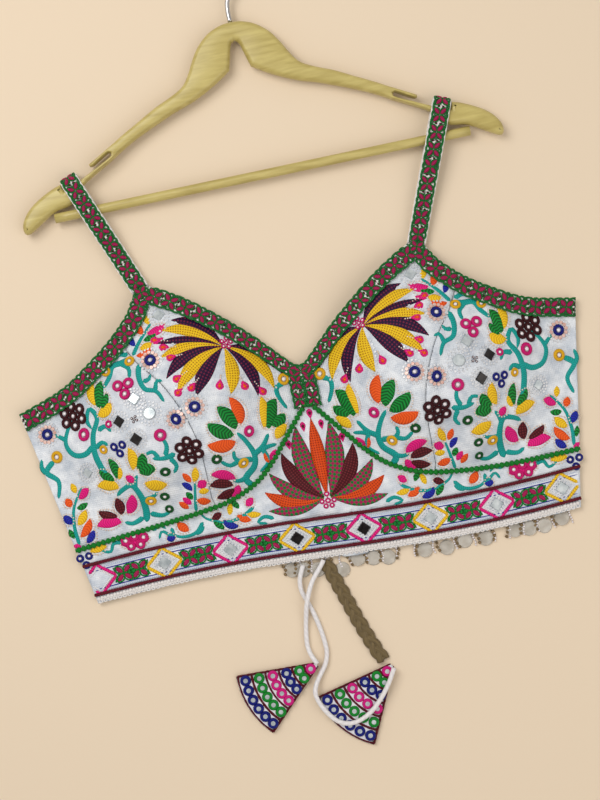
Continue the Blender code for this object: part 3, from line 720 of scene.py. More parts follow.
def filled(line, width, form, rise=RISE, across=5):
    """A closed mound of thread along a flat line: points (x, y, height over cloth), faces and UV in mm."""
    line = np.array(line, float)
    along = lengths(line)
    share = np.maximum(FORMS[form](along / along[-1]), 0.05)
    lanes = np.linspace(-1, 1, across)
    reach = width / 2 * share[:, None] * lanes[None]
    flat = line[:, None] + reach[..., None] * leftward(line)[:, None]
    mound = rise * np.sqrt(np.clip(1 - lanes**2, 0, 1))[None] * np.clip(share * 4, 0, 1)[:, None] - SUNK
    points = np.concatenate([flat, mound[..., None]], axis=2).reshape(-1, 3)
    rows, end = len(line), (len(line) - 1) * across
    faces = grid_faces(rows, across)
    faces += [(i + across, i + 2 * across - 1, i + across - 1, i) for i in range(0, end, across)]
    faces += [tuple(range(across)), tuple(end + j for j in range(across))]
    uv = np.stack(np.broadcast_arrays(along[:, None], np.abs(reach)), axis=2).reshape(-1, 2)
    return points, faces, uv


def outline_of(line, width, form, spacing, proud=0.7):
    """Points about spacing apart round the outline of such a mound."""
    line = even(line, 1.0)
    t = np.linspace(0, 1, len(line))
    half = width / 2 * np.maximum(FORMS[form](t), 0.02) + proud
    left, right = beside(line, half), beside(line, -half)
    return even(np.vstack([left, right[::-1], left[:1]]), spacing)[:-1]


def laid(shape, surface=on_front):
    """A shape with its points laid on a surface."""
    points, faces, uv = shape
    return surface(points), faces, uv


def both_halves(shape):
    """A shape and its mirror image, laid on the front."""
    points, faces, uv = shape
    return [laid((points * (side, 1, 1), faces, uv)) for side in (-1, 1)]


def on_both_sides(spots):
    """Flat spots, each after its mirror image."""
    return [(side * x, y) for x, y in spots for side in (-1, 1)]


def round_spots(x, y, reach, count):
    """Spots evenly round a point."""
    turns = np.linspace(0, 2 * math.pi, count, endpoint=False)
    return [(x + reach * math.cos(t), y + reach * math.sin(t)) for t in turns]


def outside_others(spots, own, shapes, form):
    """The spots that no other of the shapes covers."""
    kept = []
    for spot in spots:
        for k, (line, width) in enumerate(shapes):
            gaps = np.hypot(*(line - spot).T)
            near = int(np.argmin(gaps))
            if k != own and gaps[near] < width / 2 * FORMS[form](near / (len(line) - 1)):
                break
        else:
            kept.append(spot)
    return kept


# Each thread's name, colour and deep tone, and how far apart it is laid, then the colour and size of the gaps
# where it is a lattice. Threads are drawn 1.2 to 2.6 mm apart.
COLOURS = {
    "purple": thread("aubergine rayon", "#27093C", "#140420", 1.3, "#6E1C3C", 2.6),
    "yellow": thread("sunflower rayon", "#F2CC26", "#D2A018", 2.2),
    "gold": thread("sunflower lattice", "#F2CF26", "#D9AC14", 1.3, "#A87410", 2.0),
    "green": thread("leaf green rayon", "#129038", "#04481A", 2.6),
    "orange": thread("orange rayon", "#F0601F", "#CC4410", 2.2),
    "ember": thread("orange lattice", "#EC5418", "#C03E0A", 1.2, "#8E2408", 2.0),
    "magenta": thread("magenta rayon", "#E81C86", "#BE1068", 2.0),
    "plaid": thread("magenta and green lattice", "#B2185A", "#861044", 1.2, "#0E7030", 3.6, -0.1),
    "maroon": thread("maroon lattice", "#520C1A", "#34070F", 1.2, "#70242A", 2.2),
    "navy": thread("navy rayon", "#1E2CB0", "#101870", 2.0),
    "teal": thread("teal rayon", "#14A49E", "#0D8682", 1.8),
}

# The palmette on each cup: its root, and each petal's colour, tip x and y, width and bow
PALMETTE = (57, 184.5)
PALMETTE_PETALS = [
    ("purple", 95, 213, 12, 6), ("gold", 105, 206, 11.5, 6), ("purple", 111, 196, 7.5, 4),
    ("gold", 109, 184, 11, 5), ("purple", 107, 166, 13, 8), ("gold", 100, 153, 13.5, 6),
    ("purple", 86, 148, 14.5, 3), ("gold", 59, 145, 13, -4), ("purple", 38, 140, 11.5, -7),
    ("gold", 24, 144, 12, -8), ("purple", 14.5, 154.5, 10.5, -8),
]
# Sprays of the cups and midriff: colour, root x and y, tip x and y, width and bow
LEAVES = [
    # clusters round the trees of the inner cup
    ("green", 35, 112, 24, 136, 12, -3), ("yellow", 39, 113, 36, 140, 8, 2),
    ("green", 32, 114, 20, 123, 9, 1), ("yellow", 31, 103, 20, 114, 8, -1),
    ("orange", 57, 119, 61, 143, 9, 3), ("green", 61, 116, 72, 137, 11, 2),
    ("green", 63, 112, 82, 125, 11, -2), ("orange", 63, 107, 86, 108, 10, -3),
    ("magenta", 70, 76, 89, 83, 8, 2), ("maroon", 73, 71, 92, 74, 8, 2), ("maroon", 72, 68, 89, 63, 7, -1),
    ("magenta", 69, 71, 77, 59, 7, -1), ("magenta", 40, 85, 33, 95, 5, 0), ("orange", 41, 84, 43, 94, 4, 0),
    # clusters of the outer cup
    ("green", 146, 100, 139, 112, 9, 2), ("green", 145, 96, 131, 96, 10, -2),
    ("yellow", 150, 100, 149, 119, 8, 2), ("yellow", 143, 88, 125, 83, 9, 2),
    ("magenta", 151, 90, 157, 97, 6, 0), ("green", 165, 96, 168, 114, 7, 2),
    ("green", 167, 95, 178, 107, 7, -1), ("yellow", 163, 95, 160, 105, 5, 0),
    ("yellow", 165, 88, 183, 94, 9, 2), ("yellow", 169, 158, 167, 181, 7, -3),
    ("green", 166, 155, 160, 177, 9, -2), ("green", 164, 154, 157, 166, 6, 0),
    ("yellow", 169, 150, 156, 158, 9, 2), ("magenta", 164, 66, 156, 81, 9, 2),
    ("maroon", 169, 66, 170, 81, 8, 1), ("maroon", 172, 66, 187, 74, 7, -2),
    ("magenta", 170, 60, 191, 62, 9, 2),
    # the sprig under the strap
    ("magenta", 116, 206, 100, 211, 7, 2), ("orange", 119, 206, 123, 217, 6, -1),
    ("yellow", 113, 213, 116, 222, 5, 0), ("navy", 127, 198, 131, 208, 5, -1),
    ("green", 120, 201, 108, 205, 5, 1), ("yellow", 124, 195, 113, 198, 6, 1),
    ("orange", 128, 190, 114, 194, 5, 2), ("magenta", 111, 196, 103, 200, 4, 0),
    # the low sprig beside the seam
    ("yellow", 104, 80, 100, 92, 6, 1), ("orange", 106, 80, 111, 89, 5, 0),
    ("magenta", 102, 76, 94, 80, 7, 1), ("navy", 107, 73, 114, 81, 5, 1), ("yellow", 102, 71, 93, 71, 5, 0),
    ("orange", 105, 65, 94, 62, 6, 1), ("green", 108, 66, 112, 73, 5, 0),
    ("magenta", 110, 62, 116, 69, 5, 0), ("orange", 113, 59, 120, 66, 5, 0),
    # the sprig at the side seam
    ("yellow", 202, 93, 204, 102, 5, 0), ("magenta", 200, 87, 190, 94, 7, -1),
    ("orange", 208, 83, 211, 91, 6, 0), ("green", 204, 81, 194, 83, 5, 1),
    ("yellow", 206, 67, 197, 78, 7, 1), ("navy", 210, 69, 216, 78, 6, 0),
    ("orange", 206, 57, 195, 70, 7, 2), ("green", 211, 57, 214, 66, 4, 0), ("navy", 202, 51, 194, 60, 6, 1),
    ("magenta", 207, 49, 213, 52, 4, 0),
    # the midriff under the cup
    ("magenta", 67, 52, 60, 58, 6, 0), ("yellow", 68, 46, 56, 44, 5, 1), ("green", 73, 51, 78, 59, 5, 0),
    ("orange", 76, 46, 65, 40, 6, 1), ("yellow", 82, 47, 79, 57, 5, 0), ("navy", 88, 44, 76, 37, 6, 2),
    ("maroon", 88, 50, 97, 46, 6, 0), ("green", 96, 45, 88, 36, 5, 0), ("orange", 117, 41, 125, 50, 7, -1),
    ("navy", 129, 38, 137, 38, 6, 0), ("yellow", 186, 44, 201, 43, 7, 1), ("teal", 104, 42, 112, 36, 4, 0),
    ("magenta", 150, 41.8, 175, 42.2, 8.6, 0),
]
# Vines of teal thread: width and the points that they pass
VINES = [
    (4.2, [(57, 67), (62, 75), (53, 84), (51, 94), (55, 105), (61, 114)]),
    (3.6, [(52, 93), (43, 99), (36, 109)]), (3.2, [(46, 96), (39, 98), (31, 99)]),
    (3.6, [(52, 90), (64, 90), (72, 88), (79, 93)]), (3.0, [(63, 89), (67, 94), (66, 100)]),
    (3.4, [(60, 76), (67, 74), (73, 75)]), (3.0, [(44, 98), (41, 86), (50, 78)]),
    (4.4, [(150, 55), (148, 66), (149, 78), (154, 88), (163, 86), (169, 82)]),
    (3.2, [(149, 74), (140, 75), (134, 78)]), (3.4, [(151, 60), (161, 57), (168, 60)]),
    (3.4, [(146, 62), (136, 58), (128, 60)]), (3.2, [(152, 84), (150, 91), (147, 96)]),
    (3.4, [(112, 106), (122, 104), (132, 106)]), (3.2, [(121, 105), (118, 113), (120, 121)]),
    (3.2, [(118, 104), (114, 96), (118, 90)]), (3.0, [(126, 104), (130, 111), (137, 110)]),
    (4.0, [(172, 98), (176, 110), (178, 122), (176, 136), (170, 148), (175, 157), (179, 148), (176, 140)]),
    (3.6, [(177, 128), (186, 122), (196, 124), (201, 134), (197, 145), (190, 152)]),
    (3.0, [(200, 137), (206, 142), (210, 144)]), (3.4, [(172, 138), (164, 140), (160, 134)]),
    (3.2, [(177, 124), (170, 128), (165, 124)]),
    (4.0, [(131, 189), (140, 187), (149, 186), (153, 178), (160, 170)]),
    (3.4, [(142, 187), (136, 181), (137, 173)]), (3.2, [(134, 192), (142, 194), (147, 190)]),
    (3.6, [(127, 183), (129, 172), (126, 162), (117, 158), (112, 148)]),
    (3.0, [(118, 158), (115, 166), (110, 165)]), (3.0, [(127, 168), (121, 169), (119, 173)]),
    (2.6, [(131, 190), (122, 202), (111, 214)]), (2.2, [(108, 55), (106, 66), (103, 80)]),
    (2.4, [(208, 50), (209, 66), (206, 82), (196, 97)]),
    (3.6, [(214, 124), (222, 116), (214, 106), (217, 92)]), (3.0, [(221, 114), (225, 120), (224, 128)]),
    (3.4, [(15, 148), (22, 145), (22, 137), (17, 126)]),
    (2.4, [(60, 51), (72, 44), (86, 42), (100, 47), (106, 54)]),
    (2.6, [(104, 46), (112, 38), (124, 37), (133, 42)]),
    (2.4, [(131, 47), (131, 39), (139, 45), (143, 39)]), (2.6, [(46, 38), (54, 41), (60, 37), (52, 35)]),
    (2.6, [(170, 43), (180, 45), (184, 39), (192, 42)]), (2.2, [(147, 47), (140, 50), (135, 46)]),
]
# Chain-stitched rings with a pale eye: colour, x, y and radius of the ring
RINGS = [
    ("magenta", 51, 113, 3.4), ("yellow", 61, 88, 3.4), ("green", 81, 95, 3.2), ("magenta", 121, 123, 3.6),
    ("green", 124, 93, 3.2), ("green", 130, 73, 3.0), ("green", 129, 62, 2.8), ("yellow", 142, 72, 3.4),
    ("yellow", 170, 122, 2.8), ("magenta", 184, 138, 3.8), ("yellow", 134, 187, 3.2),
    ("yellow", 155, 183, 3.0), ("yellow", 15, 151, 3.6), ("yellow", 211, 126, 3.6),
    ("magenta", 161, 141, 2.6), ("magenta", 36, 89, 2.8),
]
# Flowers of rings, round a middle one if there are more than three: colour, x, y, radius of the flower, radius
# of a ring, and how many
RING_FLOWERS = [
    ("maroon", 139, 140, 2.2, 1.6, 4), ("maroon", 101, 106, 7.8, 4.1, 6), ("maroon", 190, 155, 8.0, 4.2, 6),
    ("navy", 157, 120, 4.2, 3.4, 3), ("magenta", 143, 167, 5.2, 4.2, 3), ("navy", 206, 38, 4.4, 3.2, 3),
    ("magenta", 54.5, 187, 3.6, 2.3, 5), ("magenta", 155, 44, 0.1, 3.9, 1),
    ("magenta", 162.5, 46.5, 0.1, 3.9, 1), ("magenta", 170, 44.5, 0.1, 3.9, 1),
    ("magenta", 158.5, 38.8, 0.1, 3.7, 1), ("magenta", 166.5, 39.2, 0.1, 3.7, 1),
    ("magenta", 2.6, 45, 2.8, 2.4, 3), ("magenta", 0.1, 52, 0.2, 2.3, 1),
]
# Daisies: a navy ring in a ring of rose sequins, and a wider one of silver sequins: x, y and the two radii
DAISIES = [(89, 140, 6.6, 9.6), (106, 133, 6.4, 9.2), (215, 146, 6.4, 9.4), (117, 184, 6.2, 9.0)]
# Teardrops at the palmette's tips, pointing away from its root: x and y
DROPS = [
    (34, 144), (47, 150.5), (66, 154), (88, 156), (99, 154), (98, 165), (100, 183), (104, 192), (110, 199),
]
# Round and square mirrors: x, y, half width, and whether it is square
MIRRORS = [
    (152, 141, 4.0, True), (141, 124, 4.2, True), (136, 156, 4.2, True), (126, 142, 5.2, False),
    (188, 107, 3.4, True), (104, 219, 4.2, True),
]
# The lotus between the cups: its root, the tip of its middle petal, and each other petal's colour, tip x and
# y, width and bow
LOTUS, LOTUS_TIP = (0, 48), (0, 116)
LOTUS_PETALS = [
    ("plaid", 50, 45, 11.5, -4), ("ember", 50, 61, 13.5, -7), ("plaid", 43, 76, 14, -7),
    ("maroon", 29.5, 91, 15, -6), ("plaid", 13.5, 111, 18, -5),
]
# Buds over the lotus: x, y and width
BUDS = [(0, 120, 6.2), (7.5, 110, 5.6), (22, 97, 6.2)]

by_colour = {colour: [] for colour in COLOURS}
pearl_spots, sequin_spots, rose_spots = [], [], []

petal_shapes = []
for colour, tip_x, tip_y, width, bend in PALMETTE_PETALS:
    root = np.array(PALMETTE) + 0.01 * (np.array((tip_x, tip_y)) - PALMETTE)
    line = bow(*root, tip_x, tip_y, bend, 18)
    by_colour[colour] += both_halves(filled(line, width, "petal", 1.3, 7))
    petal_shapes.append((line, width))
for own, (line, width) in enumerate(petal_shapes):
    if PALMETTE_PETALS[own][0] == "gold":
        rim = outline_of(line, width, "petal", 3.2, 1.2)[4:-4]
        sequin_spots += on_both_sides(outside_others(rim, own, petal_shapes, "petal"))

for side in (-1, 1):
    for colour, tip_x, tip_y, width, bend in LOTUS_PETALS:
        points, faces, uv = filled(bow(2, LOTUS[1] + 1, tip_x, tip_y, bend, 16), width, "petal", 1.3, 7)
        by_colour[colour].append(laid((points * (side, 1, 1), faces, uv)))
middle_petal = bow(*LOTUS, *LOTUS_TIP, 0, 18)
by_colour["ember"].append(laid(filled(middle_petal, 13, "petal", 2.0, 7)))

leaf_shapes = []
for colour, x0, y0, x1, y1, width, bend in LEAVES:
    line = bow(x0, y0, x1, y1, bend)
    width *= LEAF_SPREAD
    by_colour[colour] += both_halves(filled(line, width, "leaf"))
    leaf_shapes.append((line, width))
for own, (line, width) in enumerate(leaf_shapes):
    if width >= 7:
        rim = outline_of(line, width, "leaf", 2.4, 0.8)
        pearl_spots += on_both_sides(outside_others(rim, own, leaf_shapes, "leaf"))
for width, points in VINES:
    by_colour["teal"] += both_halves(filled(smooth(points, 2.2), width * VINE_SPREAD, "vine", 1.0))

for x, y in DROPS:
    away = math.atan2(y - PALMETTE[1], x - PALMETTE[0])
    step = np.array((math.cos(away), math.sin(away)))
    root, tip = np.array((x, y)) - 5.0 * step, np.array((x, y)) + 4.4 * step
    by_colour["magenta"] += both_halves(filled(bow(*root, *tip, 0), 7.8, "drop", 1.5))
    heart = bow(*(root + 2.8 * step), *(tip - 1.4 * step), 0)
    by_colour["orange"] += both_halves(filled(heart, 4.2, "drop", 2.2))
    pearl_spots += on_both_sides(np.linspace(np.array(PALMETTE) + 0.9 * (root - PALMETTE), root, 3))
for x, y, width in BUDS:
    lower = bow(x, y - 5, x * 1.02, y + 4, 0)
    by_colour["magenta"] += both_halves(filled(lower, width, "drop", 1.2))
    by_colour["maroon"] += both_halves(filled(even(lower[3:9], 1.0), width * 0.6, "drop", 1.9))

for colour, shapes in by_colour.items():
    piece("embroidery_" + colour, gathered(shapes), COLOURS[colour])


def set_on_front(name, kind, spots, sizes, material, slot, rise, **more):
    """Beads, rings or discs set square on the front at flat points of either side."""
    x, y = np.array(spots, float).T
    places = on_front(np.column_stack([x, y, np.full(len(x), rise)]))
    return beaded(name, kind, places, sizes, material, slot, facings=facing(x, y), **more)


ring_spots = {}
for colour, x, y, radius in RINGS:
    ring_spots.setdefault(colour, []).append((x, y, radius * RING_SPREAD))
for colour, x, y, reach, radius, petals in RING_FLOWERS:
    turns = np.linspace(0, 2 * math.pi, petals, endpoint=False) + 0.5
    places = [(x + reach * math.cos(t), y + reach * math.sin(t), radius) for t in turns]
    ring_spots.setdefault(colour, []).extend(places)
    if petals > 3:
        ring_spots[colour].append((x, y, radius * 0.9))
for x, y, near, far in DAISIES:
    ring_spots.setdefault("navy", []).append((x, y, 4.2))
    rose_spots += on_both_sides(round_spots(x, y, near, 12))
    sequin_spots += on_both_sides(round_spots(x, y, far, 20))
for x, y, half, square in MIRRORS:
    sequin_spots += on_both_sides(round_spots(x, y, half + 1.8, 14))
    sequin_spots += on_both_sides(round_spots(x, y, half + 4.2, 18))

# The pearls are pearlised acrylic, with a soft gleam. The sequins are thin polyester with a bright face.
pearl = clouded("pearlised acrylic", "#F0ECEF", "#D9D2DA", 2.0, 0.25, Coat_Weight=0.6, Coat_Roughness=0.1)
sequin = clouded("silver polyester sequin", "#E4E6EA", "#BCC1C9", 3.0, 0.42, Metallic=0.12)
blush = clouded("blush glass bead", "#E9DDD4", "#CDB5A4", 4.0, 0.3, Coat_Weight=0.4)
rose = clouded("rose gold sequin", "#EBCDC4", "#C79A8E", 3.0, 0.35, Metallic=0.2)
for colour, spots in ring_spots.items():
    spots = [(side * x, y, radius) for x, y, radius in spots for side in (-1, 1)]
    flat = [(x, y) for x, y, radius in spots]
    sizes = np.array([radius for x, y, radius in spots])
    set_on_front(f"rings_{colour}", "ring", flat, sizes - 0.8, COLOURS[colour], "thread", 0.5, thickness=0.42)
    set_on_front(f"ring_eyes_{colour}", "bead", flat, sizes * 0.46, pearl, "sequin", 0.45, flatness=0.7)
set_on_front("pearl_outlines", "bead", pearl_spots, 0.82, blush, "sequin", 0.35)
set_on_front("daisy_sequins", "disc", rose_spots, 1.6, rose, "sequin", 0.4, flatness=0.3)
set_on_front("sequin_outlines", "disc", sequin_spots, 1.05, sequin, "sequin", 0.3, flatness=0.3)

# Mirror glass: some pieces are bright, and others are coloured near black, a painted dark reflection of the
# room overhead.
painted_reflection_mirror = clouded("mirror glass painted with a dark reflection", "#2E2A2A", "#161214", 4.0, 0.16, Metallic=0.3)
round_ones = [mirror for mirror in MIRRORS if not mirror[3]]
squares = [mirror for mirror in MIRRORS if mirror[3]]
for name, kind, glass, few in (
    ("round", "disc", foil, round_ones),
    ("bright", "square", foil, squares[2:]),
    ("dark", "square", painted_reflection_mirror, squares[:2]),
):
    flat = on_both_sides([(x, y) for x, y, half, square in few])
    sizes = np.repeat([half * (1.35 if square else 1.0) for x, y, half, square in few], 2)
    set_on_front("cup_mirrors_" + name, kind, flat, sizes, glass, "mirror", 0.5, flatness=0.22)

# ---------------------------------------------------------------- waistband
# The band's embroidery between two twisted maroon cords: narrow stripes of pale blue thread with a navy line,
# and between them diamonds, each with a mirror, and blocks of berry flowers outlined in green chain stitch.
HEM_HALF, SIDE_TOP = 203.0, (234.0, 167.5)
BAND_TOP, BAND_CORD_Y, BAND_MIDDLE = 33.0, 7.5, 19.3
DIAMOND_STEP, FIRST_DIAMOND, DIAMOND_WIDE, DIAMOND_HIGH = 55.6, -142.6, 30.0, 25.0
DIAMOND = np.array([(-1, 0), (0, 1), (1, 0), (0, -1), (-1, 0)]) * (DIAMOND_WIDE / 2, DIAMOND_HIGH / 2)
BLOCK_HALF, BLOCK_GROUND = 13, 6.5  # half length and width of the green ground under two flowers
FLOWER_OUT = 6.6  # from the block's middle to a flower's
FLOWER_REACH, FLOWER_PETAL = 8.6, 4.6  # a petal's reach and width
# Each pair of stripes: heights over the hem, colour, width and rise
STRIPES = [((29.2, 9.9), "pale", 2.0, 0.9), ((26.9, 11.7), "navy", 1.1, 1.0)]


def side_x(y):
    """x of the side seam at a height."""
    return HEM_HALF + (SIDE_TOP[0] - HEM_HALF) * y / SIDE_TOP[1]


BLOCK_END = side_x(18) - 2  # how near the side seam a block's stitches come


def flower(x, y, length, width, tilt=math.pi / 4):
    """Four petals of a flower in an X, as flat lines from the middle: (line, width) for each."""
    made = []
    for k in range(4):
        angle = tilt + k * math.pi / 2
        step = np.array((math.cos(angle), math.sin(angle)))
        root, tip = np.array((x, y)) + 0.7 * step, np.array((x, y)) + length * step
        made.append((bow(*root, *tip, 0, 8), width))
    return made


BAND_THREADS = {
    **COLOURS,
    "pale": thread("pale blue thread", "#D3DDEC", "#A9B8D2", 1.6),
    "silver": thread("silver zari", "#ECEEF0", "#C6CBD1", 1.4),
    "berry": thread("berry rayon", "#BE1A60", "#7E0E3C", 1.2),
}
band_shapes = {name: [] for name in ("magenta", "berry", "green", "navy", "yellow", "pale", "silver")}
for heights, colour, width, rise in STRIPES:
    for y in heights:
        stripe = even([(-side_x(y) + 1, y), (side_x(y) - 1, y)], 4)
        band_shapes[colour].append(laid(filled(stripe, width, "bar", rise)))
band_mirrors, band_sequins = [], []
for k in range(-1, 7):
    x = FIRST_DIAMOND + k * DIAMOND_STEP
    middle = np.array((x, BAND_MIDDLE))
    frame_colour = "yellow" if k % 2 == 0 else "magenta"
    for reach, width, colour, rise in ((1.0, 3.2, frame_colour, 1.5), (0.74, 2.0, "silver", 1.1)):
        corners = middle + reach * DIAMOND
        for a, b in zip(corners, corners[1:]):
            line = [p for p in even([a, b], 1.6) if abs(p[0]) < side_x(p[1]) - 1.2]
            if len(line) > 3:
                band_shapes[colour].append(laid(filled(line, width, "bar", rise)))
    if abs(x) < HEM_HALF - 5:
        band_mirrors.append((x, BAND_MIDDLE))
        for reach in (0.5, 0.6):
            band_sequins += [tuple(p) for p in even(middle + reach * DIAMOND, 2.6)[:-1]]
    if k == 6:
        continue
    block = x + DIAMOND_STEP / 2
    ground = even([(block - BLOCK_HALF, BAND_MIDDLE), (block + BLOCK_HALF, BAND_MIDDLE)], 2)
    ground = [p for p in ground if abs(p[0]) < BLOCK_END]
    if len(ground) > 3:
        band_shapes["green"].append(laid(filled(ground, BLOCK_GROUND, "bar", 0.62)))
    for offset in (-FLOWER_OUT, FLOWER_OUT):
        for line, width in flower(block + offset, BAND_MIDDLE, FLOWER_REACH, FLOWER_PETAL):
            if abs(line[-1][0]) < BLOCK_END:
                band_shapes["berry"].append(laid(filled(line, width, "leaf", 1.4)))
                hoop = outline_of(line, width, "leaf", 1.4, 0.7)
                hoop = np.vstack([hoop, hoop[:1]])
                loop = tube(np.column_stack([hoop, np.full(len(hoop), 0.5)]), 0.7, 5)
                band_shapes["green"].append(laid(loop))
    for across in (-15.0, 0.0, 15.0):
        for up in (-1, 1):
            root = (block + across * 0.8, BAND_MIDDLE + up * 1.2)
            tip = (block + across, BAND_MIDDLE + up * 6.6)
            band_shapes["green"].append(laid(filled(bow(*root, *tip, 0, 7), 2.4, "leaf", 1.0)))

for colour, shapes in band_shapes.items():
    piece("band_" + colour, gathered(shapes), BAND_THREADS[colour])
# The two mirrors in the middle of the band get the near-black colour of a painted dark reflection.
bright, dark = band_mirrors[:2] + band_mirrors[4:], band_mirrors[2:4]
set_on_front("band_mirrors", "square", bright, 6.0, foil, "mirror", 0.5, flatness=0.2)
set_on_front("band_mirrors_painted_dark_reflection", "square", dark, 6.0, painted_reflection_mirror, "mirror", 0.5, flatness=0.2)
set_on_front("band_sequins", "disc", band_sequins, 0.95, sequin, "sequin", 0.3, flatness=0.3)

# ---------------------------------------------------------------- edge braids
# Embroidered braid on the neck, armholes and centre: a cotton tape packed with magenta petals in Xs, each
# looped round in green chain stitch, with maroon links between the Xs and green scallops along both edges.
EDGE_BRAID, NECK_BRAID_END, BRAID_PITCH = 14.5, 10.0, 13.4
TRIM_GAP, TRIM = 0.9, 1.2
TAPE_RISE, TAPE_CUTS = TRIM_GAP + TRIM, 3
PETAL_REACH, PETAL_WIDE, PETAL_TILT = 7.9, 4.7, math.radians(40)
PEAK_IN, PEAK_OUT, NECK_DIP = (108.2, 245.5), (121.8, 240.5), (0.3, 160.0)
NECK = [PEAK_IN, (81, 229), (56, 210), (34, 191), (17, 174), (6, 163), NECK_DIP]
ARMHOLE = [PEAK_OUT, (129, 226), (146, 209), (167, 194), (194, 179), SIDE_TOP]
PEAK_STRIP, DIP_STRIP = [(116.2, 245.5), (113.0, 235.5)], [(-7, 155.2), (7, 155.2)]
CENTRE_X, CENTRE_TOP, CENTRE_FOOT = 5.6, 154, 125

# A tight cotton tape, almost hidden by its stitches: white, shot with dark green in cells drawn 2.2 mm wide.
tape, tree, shader = dyed("green and white cotton tape", "#2C4A34", 0.8, Sheen_Weight=0.04)
where = put(tree, "ShaderNodeTexCoord").outputs["Object"]
ribs = put(tree, "ShaderNodeTexVoronoi", {"Vector": where, "Scale": 460.0})
tone = put(tree, "ShaderNodeValToRGB", {"Fac": ribs.outputs["Distance"]})
spread_ramp(tone, 0.4, "#E0DCDC", 0.66, "#2A5A38")
tree.links.new(tone.outputs["Color"], shader.inputs["Base Color"])
lift = put(tree, "ShaderNodeBump", {"Height": ribs.outputs["Distance"], "Strength": 0.5, "Distance": 0.0005})
tree.links.new(lift.outputs["Normal"], shader.inputs["Normal"])


def on_strip(line, surface):
    """A surface for (distance along a line, distance to its left, height over it), and the line's length."""
    line = np.array(line, float)
    along, ahead = lengths(line), directions(line)

    def at(points):
        s, t, rise = np.array(points, float).T
        x, y, dx, dy = (np.interp(s, along, values) for values in (*line.T, *ahead.T))
        return surface(np.column_stack([x - dy * t, y + dx * t, rise]))

    return at, along[-1]


def braid_stitches(braid, at, start, end, width_at):
    """Adds the petals, green loops and links of a braid, from start to end along its strip."""
    count = max(1, round((end - start) / BRAID_PITCH))
    pitch = (end - start) / count
    for k in range(count):
        s = start + (k + 0.5) * pitch
        share = width_at(s) / EDGE_BRAID
        for line, width in flower(s, 0, PETAL_REACH, PETAL_WIDE * share, PETAL_TILT):
            line = (line - (s, 0)) * (pitch / BRAID_PITCH, share) + (s, 0)
            braid["petals"].append(laid(filled(line, width, "leaf", 2.0), at))
            hoop = outline_of(line, width, "leaf", 1.9, 0.35)
            loop = tube(np.column_stack([hoop, np.full(len(hoop), 0.4)]), 0.62, 5, closed=True)
            braid["loops"].append(laid(loop, at))
        for side in (-1, 1):
            link = bow(s + 0.5 * pitch, 0.5 * side, s + 0.5 * pitch, 3.6 * share * side, 0, 6)
            braid["links"].append(laid(filled(link, 2.4, "leaf", 1.3), at))
            edge = share * EDGE_BRAID / 2 * side
            for middle, reach in ((s, 0.17), (s + 0.5 * pitch, 0.3)):
                turn = np.linspace(0, math.pi, 7)
                ahead, out = middle + pitch * reach * np.cos(turn), edge * (0.80 + 0.2 * np.sin(turn))
                scallop = tube(np.column_stack([ahead, out, np.full(7, 0.6)]), 0.85, 6)
                braid["loops"].append(laid(scallop, at))


def over_trim(points):
    """Flat points laid on the tape."""
    return on_front(np.array(points, float) + (0, 0, TAPE_RISE - 0.2))


def strip_stitches(braid, line, ends, width_at):
    """The same stitches on a flat strip of tape along a line, stopping short of its two ends."""
    at, length = on_strip(line, over_trim)
    braid_stitches(braid, at, ends[0], length - ends[1], width_at)


BRAID_THREADS = {
    "petals": thread("braid magenta rayon", "#B41C5E", "#7C0E3E", 1.2),
    "loops": thread("braid green chain stitch", "#1A7A36", "#0C4A1E", 1.6),
    "links": thread("braid maroon rayon", "#4A0A20", "#2C0612", 1.2),
}
edge_braid = {part: [] for part in BRAID_THREADS}
neck, armhole = smooth(NECK, 2.0), smooth(ARMHOLE, 2.0)
neck = beside(neck, np.linspace(EDGE_BRAID, NECK_BRAID_END, len(neck)) / 2)
armhole = beside(armhole, np.full(len(armhole), -EDGE_BRAID / 2))
neck_length = lengths(neck)[-1]


def neck_width(s):
    """Width of the neck's braid, which narrows from the strap to the centre."""
    return EDGE_BRAID + (NECK_BRAID_END - EDGE_BRAID) * s / neck_length


for side, side_name in ((-1, "left"), (1, "right")):
    for name in ("neck_border_", "armhole_border_"):
        sewn_panel(name + side_name, TAPE_CUTS, TAPE_RISE, 1.6, tape, front_level)
    strip_stitches(edge_braid, neck * (side, 1), (1.5, 1), neck_width)
    strip_stitches(edge_braid, armhole * (side, 1), (1.5, 1), lambda s: EDGE_BRAID)
    strip_stitches(edge_braid, even(PEAK_STRIP, 2.0) * (side, 1), (0, 0), lambda s: 12.0)
sewn_panel("centre_border", TAPE_CUTS, TAPE_RISE, 1.6, tape, front_level)
strip_stitches(edge_braid, even(DIP_STRIP, 2.0), (0, 0), lambda s: 9.0)
for x in (-CENTRE_X, CENTRE_X):
    strip_stitches(edge_braid, even([(x, CENTRE_TOP), (x, CENTRE_FOOT)], 2.0), (0.5, 0.5), lambda s: 10.5)
for part, shapes in edge_braid.items():
    piece("braid_" + part, gathered(shapes), BRAID_THREADS[part])

# ---------------------------------------------------------------- cords and picot edge
# Cords couched over the seams: a green one knotted like a row of bobbles under each cup, and two twisted
# maroon ones on the waistband. The hem has a narrow white picot edge of knotted loops.
CORD_STEP = 0.7  # between the points of the green cord's line
BOBBLE_PITCH = 4.2  # from one knot of the green cord to the next
UNDERBUST = [(1.4, 129), (8, 121), (23, 103), (37, 86), (53, 71), (75, 60), (100, 54.5), (145, 50), (212, 47)]
KNOT_PITCH, LOOP_PITCH = 2.7, 4.05  # along the picot edge
